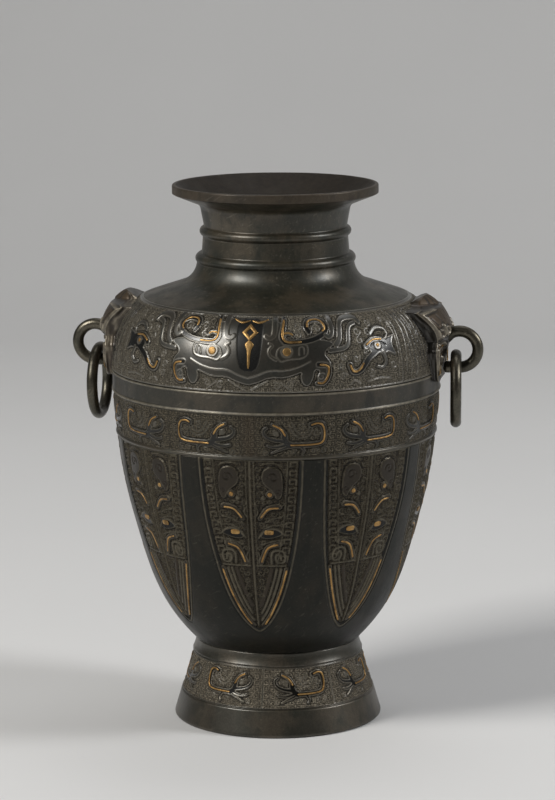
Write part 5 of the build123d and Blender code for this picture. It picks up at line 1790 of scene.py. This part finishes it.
def dress_hidden_nodes():
    """The floor plate and the roves keep their solids and take the plain bronze."""
    for name in ("base_plate", "left_rove", "right_rove"):
        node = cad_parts[name]
        node.data.materials.clear()
        node.data.materials.append(PLAIN)


# Floor, light and camera, in metres
FLOOR_HALF = 6.0
FLOOR_FRONT = -5.0
SWEEP_START = 1.6
SWEEP_RADIUS = 1.4
SWEEP_TOP = 5.0
CAMERA_PLACE = Vector((0.367, -2.192, 0.631))
CAMERA_AIM = Vector((0.0008, 0.0001, 0.227))
CAMERA_LENS = 143.6
CAMERA_ROLL = -0.3


def pale_floor():
    """Matt pale grey, see-through from behind so that the sweep hides nothing in a back view."""
    material, wiring = new_finish("pale floor")
    place = wiring.place()
    cloud = wiring.span(wiring.noise(place, 1.3, 3.0), 0.3, 0.7)
    color = wiring.mix(cloud, (0.73, 0.73, 0.73, 1), (0.76, 0.76, 0.76, 1))
    front = wiring.node("ShaderNodeBsdfPrincipled", {"Base Color": color, "Roughness": 0.75})
    behind = wiring.node("ShaderNodeBsdfTransparent")
    from_behind = wiring.node("ShaderNodeNewGeometry").outputs["Backfacing"]
    surface = wiring.node(
        "ShaderNodeMixShader", {0: from_behind, 1: front.outputs[0], 2: behind.outputs[0]}
    )
    wiring.node("ShaderNodeOutputMaterial", {"Surface": surface.outputs[0]})
    return material


def build_stage():
    """One sheet that lies flat under the vessel and sweeps up behind it."""
    sweep = np.radians(np.linspace(-90, 0, 24))
    back = SWEEP_START + SWEEP_RADIUS * np.cos(sweep)
    rise = SWEEP_RADIUS + SWEEP_RADIUS * np.sin(sweep)
    wall_top = (SWEEP_START + SWEEP_RADIUS, SWEEP_TOP)
    line = np.concatenate([[(FLOOR_FRONT, 0.0), (0.0, 0.0)], np.stack([back, rise], 1), [wall_top]])
    points = [(x, y, z) for y, z in line for x in (-FLOOR_HALF, FLOOR_HALF)]
    faces = [(2 * k, 2 * k + 1, 2 * k + 3, 2 * k + 2) for k in range(len(line) - 1)]
    mesh = bpy.data.meshes.new("floor_sweep")
    mesh.from_pydata(points, [], faces)
    mesh.polygons.foreach_set("use_smooth", [True] * len(faces))
    mesh.materials.append(pale_floor())
    floor = bpy.data.objects.new("floor_sweep", mesh)
    bpy.context.scene.collection.objects.link(floor)


def soft_light(name, place, aim, size, power, warmth=(1.0, 1.0, 1.0)):
    """A rectangle of light at a place, turned to its aim, with its power in watts."""
    lamp = bpy.data.lights.new(name, "AREA")
    lamp.shape = "RECTANGLE"
    lamp.size, lamp.size_y = size
    lamp.energy = power
    lamp.color = warmth
    holder = bpy.data.objects.new(name, lamp)
    holder.location = place
    holder.rotation_euler = (Vector(aim) - Vector(place)).to_track_quat("-Z", "Y").to_euler()
    bpy.context.scene.collection.objects.link(holder)


def build_light():
    """A warm key from the left front, fills from the right and above, and a dim world."""
    soft_light("key", (-1.82, -1.64, 2.06), (0, 0, 0.25), (1.0, 1.0), 70.0, (1.0, 0.98, 0.94))
    soft_light("right", (2.3, 0.0, 1.6), (0, 0, 0.25), (0.6, 0.9), 34.0)
    soft_light("top", (0.2, 0.9, 2.6), (0, 0, 0.3), (1.4, 1.0), 9.0)
    world = bpy.data.worlds.new("studio")
    world.use_nodes = True
    sky = world.node_tree.nodes["Background"].inputs
    sky["Color"].default_value = (0.55, 0.56, 0.58, 1)
    sky["Strength"].default_value = 0.1
    bpy.context.scene.world = world


def build_camera():
    """The photograph's view."""
    lens = bpy.data.cameras.new("photo view")
    lens.lens = CAMERA_LENS
    lens.sensor_width = 36.0
    camera = bpy.data.objects.new("photo view", lens)
    camera.location = CAMERA_PLACE
    turn = (CAMERA_AIM - CAMERA_PLACE).to_track_quat("-Z", "Y").to_matrix().to_4x4()
    roll = Matrix.Rotation(math.radians(CAMERA_ROLL), 4, "Z")
    camera.rotation_euler = (turn @ roll).to_euler()
    bpy.context.scene.collection.objects.link(camera)
    bpy.context.scene.camera = camera


build_neck()
build_shoulder()
build_belt()
build_belly()
build_leaves()
build_foot()
build_gold()
build_handles()
dress_hidden_nodes()
build_stage()
build_light()
build_camera()
bpy.context.scene.view_settings.view_transform = "Standard"
